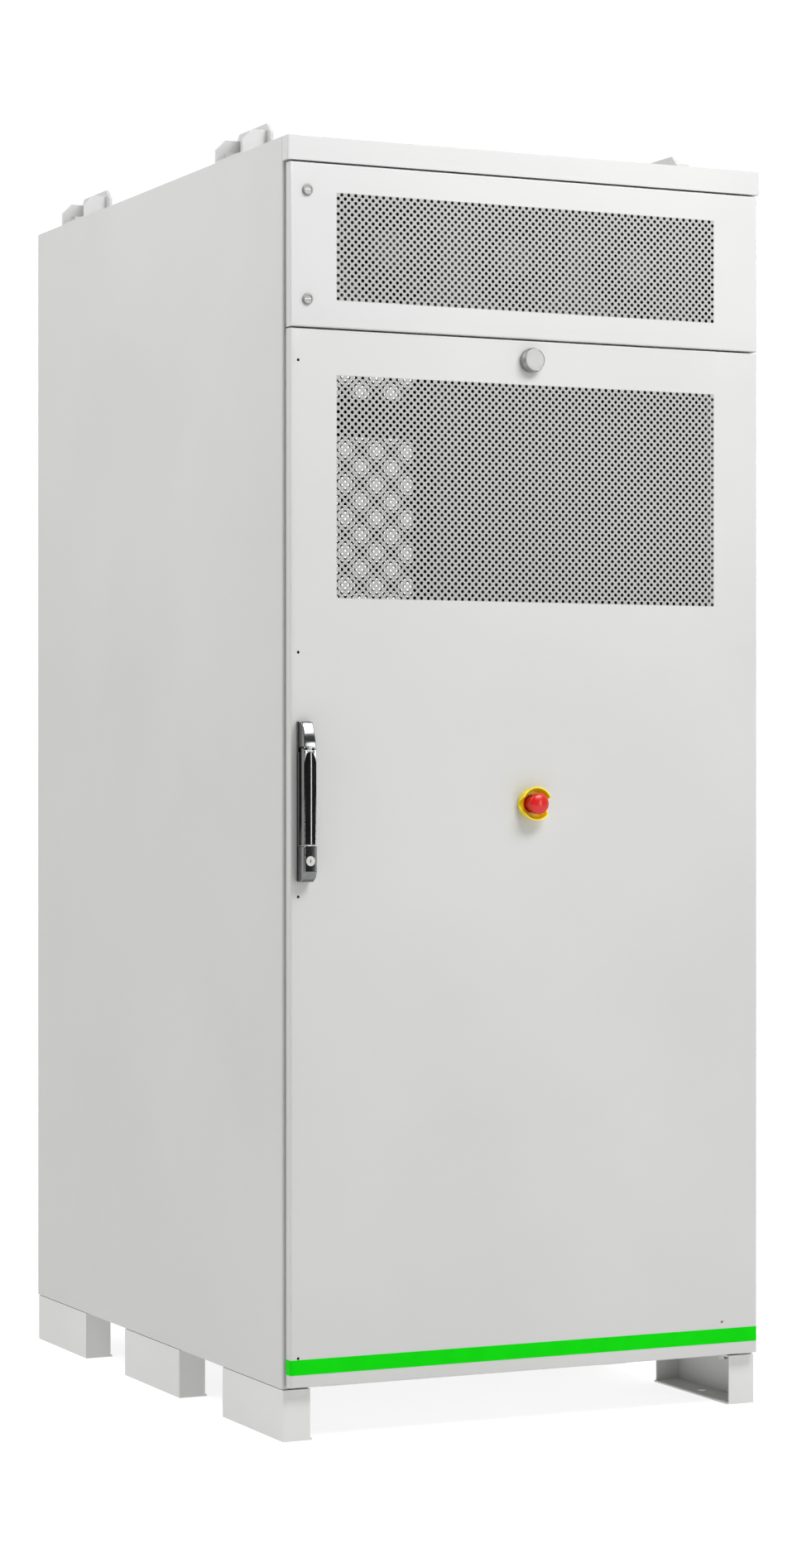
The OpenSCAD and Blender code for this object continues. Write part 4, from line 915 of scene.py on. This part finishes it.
# %% Breaker case
low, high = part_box("breaker_case")
panel_side, bridge_front = high.y, low.y
case_front = bridge_front + 12 * MM
middle_x, middle_z = (low.x + high.x) / 2, (low.z + high.z) / 2
bm = bmesh.new()
add_block(bm, (low.x, case_front + 8 * MM, low.z), (high.x, panel_side, high.z), 2 * MM, 3)
add_block(bm, (low.x, case_front, middle_z - 62 * MM), (high.x, case_front + 12 * MM, middle_z + 62 * MM),
          2 * MM, 3)
for side in (-1, 1):
    add_block(bm, (middle_x + side * 21 * MM - 9 * MM, bridge_front, middle_z - 45 * MM),
              (middle_x + side * 21 * MM + 9 * MM, case_front + 2 * MM, middle_z + 45 * MM), 1.5 * MM, 3)
    add_block(bm, (middle_x - 14 * MM, bridge_front, middle_z + side * 36.5 * MM - 8.5 * MM),
              (middle_x + 14 * MM, case_front + 2 * MM, middle_z + side * 36.5 * MM + 8.5 * MM), 1.5 * MM, 3)
    for pole in (-1, 0, 1):
        x = middle_x + pole * 46 * MM
        for wall in (-1, 1):
            add_block(bm, (x + wall * 19 * MM - 2 * MM, case_front, middle_z + side * 84 * MM - 20 * MM),
                      (x + wall * 19 * MM + 2 * MM, case_front + 10 * MM,
                       middle_z + side * 84 * MM + 20 * MM), 0.8 * MM)
        add_turned(bm, filleted([(0, 0), (7 * MM, 0), (7 * MM, 5 * MM), (4 * MM, 6 * MM),
                                 (4 * MM, 3 * MM), (0, 3 * MM)], 0.5 * MM),
                   (x, case_front + 9 * MM, middle_z + side * 84 * MM), (0, -1, 0), 24)
finished("breaker_moulding", bm, "cabinet", breaker_plastic, ("breaker_case",))

# %% [markdown]
# ## Fans
# Each rotor is a cup-shaped hub over the motor with seven blades. A blade is a thin plate: steep at the
# hub and flatter at the tip, because the tip moves faster. One blade is bent from a grid and copied
# round the axis.

# %% Fan rotors
for side in ("left", "middle", "right"):
    node = "fan_rotor_" + side
    low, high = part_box(node)
    centre = (low + high) / 2
    bm = bmesh.new()
    hub = [(0, 16), (26, 16), (34, 12), (34, -16), (31, -16), (31, 11), (0, 13)]
    add_turned(bm, filleted([(r * MM, h * MM) for r, h in hub], 2 * MM), centre, (0, -1, 0), 56)
    blade = bmesh.new()
    bmesh.ops.create_grid(blade, x_segments=8, y_segments=6, size=1)
    for vert in blade.verts:
        u, v = (vert.co.x + 1) / 2, vert.co.y
        reach = (33 + 45 * u) * MM
        pitch = radians(48 - 22 * u)
        chord = (17 + 6 * u) * MM * v
        camber = 2.5 * MM * (1 - v * v)
        sweep = chord * cos(pitch) / reach + 0.12 * u
        depth = chord * sin(pitch) + camber
        vert.co = Vector((reach * cos(sweep), depth, reach * sin(sweep)))
    bmesh.ops.solidify(blade, geom=blade.faces[:], thickness=1.8 * MM)
    bmesh.ops.translate(blade, vec=centre, verts=blade.verts[:])
    bmesh.ops.spin(blade, geom=blade.verts[:] + blade.edges[:] + blade.faces[:], cent=centre, axis=(0, 1, 0),
                   angle=tau * 6 / 7, steps=6, use_duplicate=True, dvec=(0, 0, 0))
    sheet = bpy.data.meshes.new("blades")
    blade.to_mesh(sheet)
    blade.free()
    bm.from_mesh(sheet)
    bpy.data.meshes.remove(sheet)
    finished(node + "_impeller", bm, node, fan_alloy, (node,))

# %% [markdown]
# ## Floor and surroundings
# The floor is a round sheet of pale paper, wide enough to hold the soft shadow under the feet. It
# belongs to the stage, not to the cabinet.

# %% Floor and studio walls
paper, tree, shader, place = new_material("light_table", Emission_Color=(1, 1, 1, 1), Emission_Strength=0.8)
fibre = noise(tree, place, 6, 4.0)
dress(tree, shader, blend_of(tree, fibre, "#9c9c9c", "#a4a4a4"), fibre, (0.85, 0.95), fibre, 0.05, 0.2)
bm = bmesh.new()
bmesh.ops.create_circle(bm, cap_ends=True, radius=7.0, segments=96)
mesh = bpy.data.meshes.new("studio_floor")
bm.to_mesh(mesh)
bm.free()
mesh.materials.append(paper)
floor = bpy.data.objects.new("studio_floor", mesh)
floor.location.z = -0.5 * MM
bpy.context.scene.collection.objects.link(floor)

world = bpy.data.worlds.new("studio_walls")
world.use_nodes = True
tree = world.node_tree
direction = add(tree, "TexCoord").outputs["Generated"]
facing = add(tree, "VectorMath", {"operation": "DOT_PRODUCT", 1: (0.42, 0.91, 0.0)}, {0: direction})
level = add(tree, "MapRange", {"From Min": -0.55, "From Max": 0.5, "To Min": 0.08, "To Max": 1.03},
            {"Value": facing.outputs["Value"]})
tree.links.new(level.outputs["Result"], tree.nodes["Background"].inputs["Strength"])
tree.nodes["Background"].inputs["Color"].default_value = (1, 1, 1, 1)
bpy.context.scene.world = world
bpy.context.scene.view_settings.view_transform = "Standard"
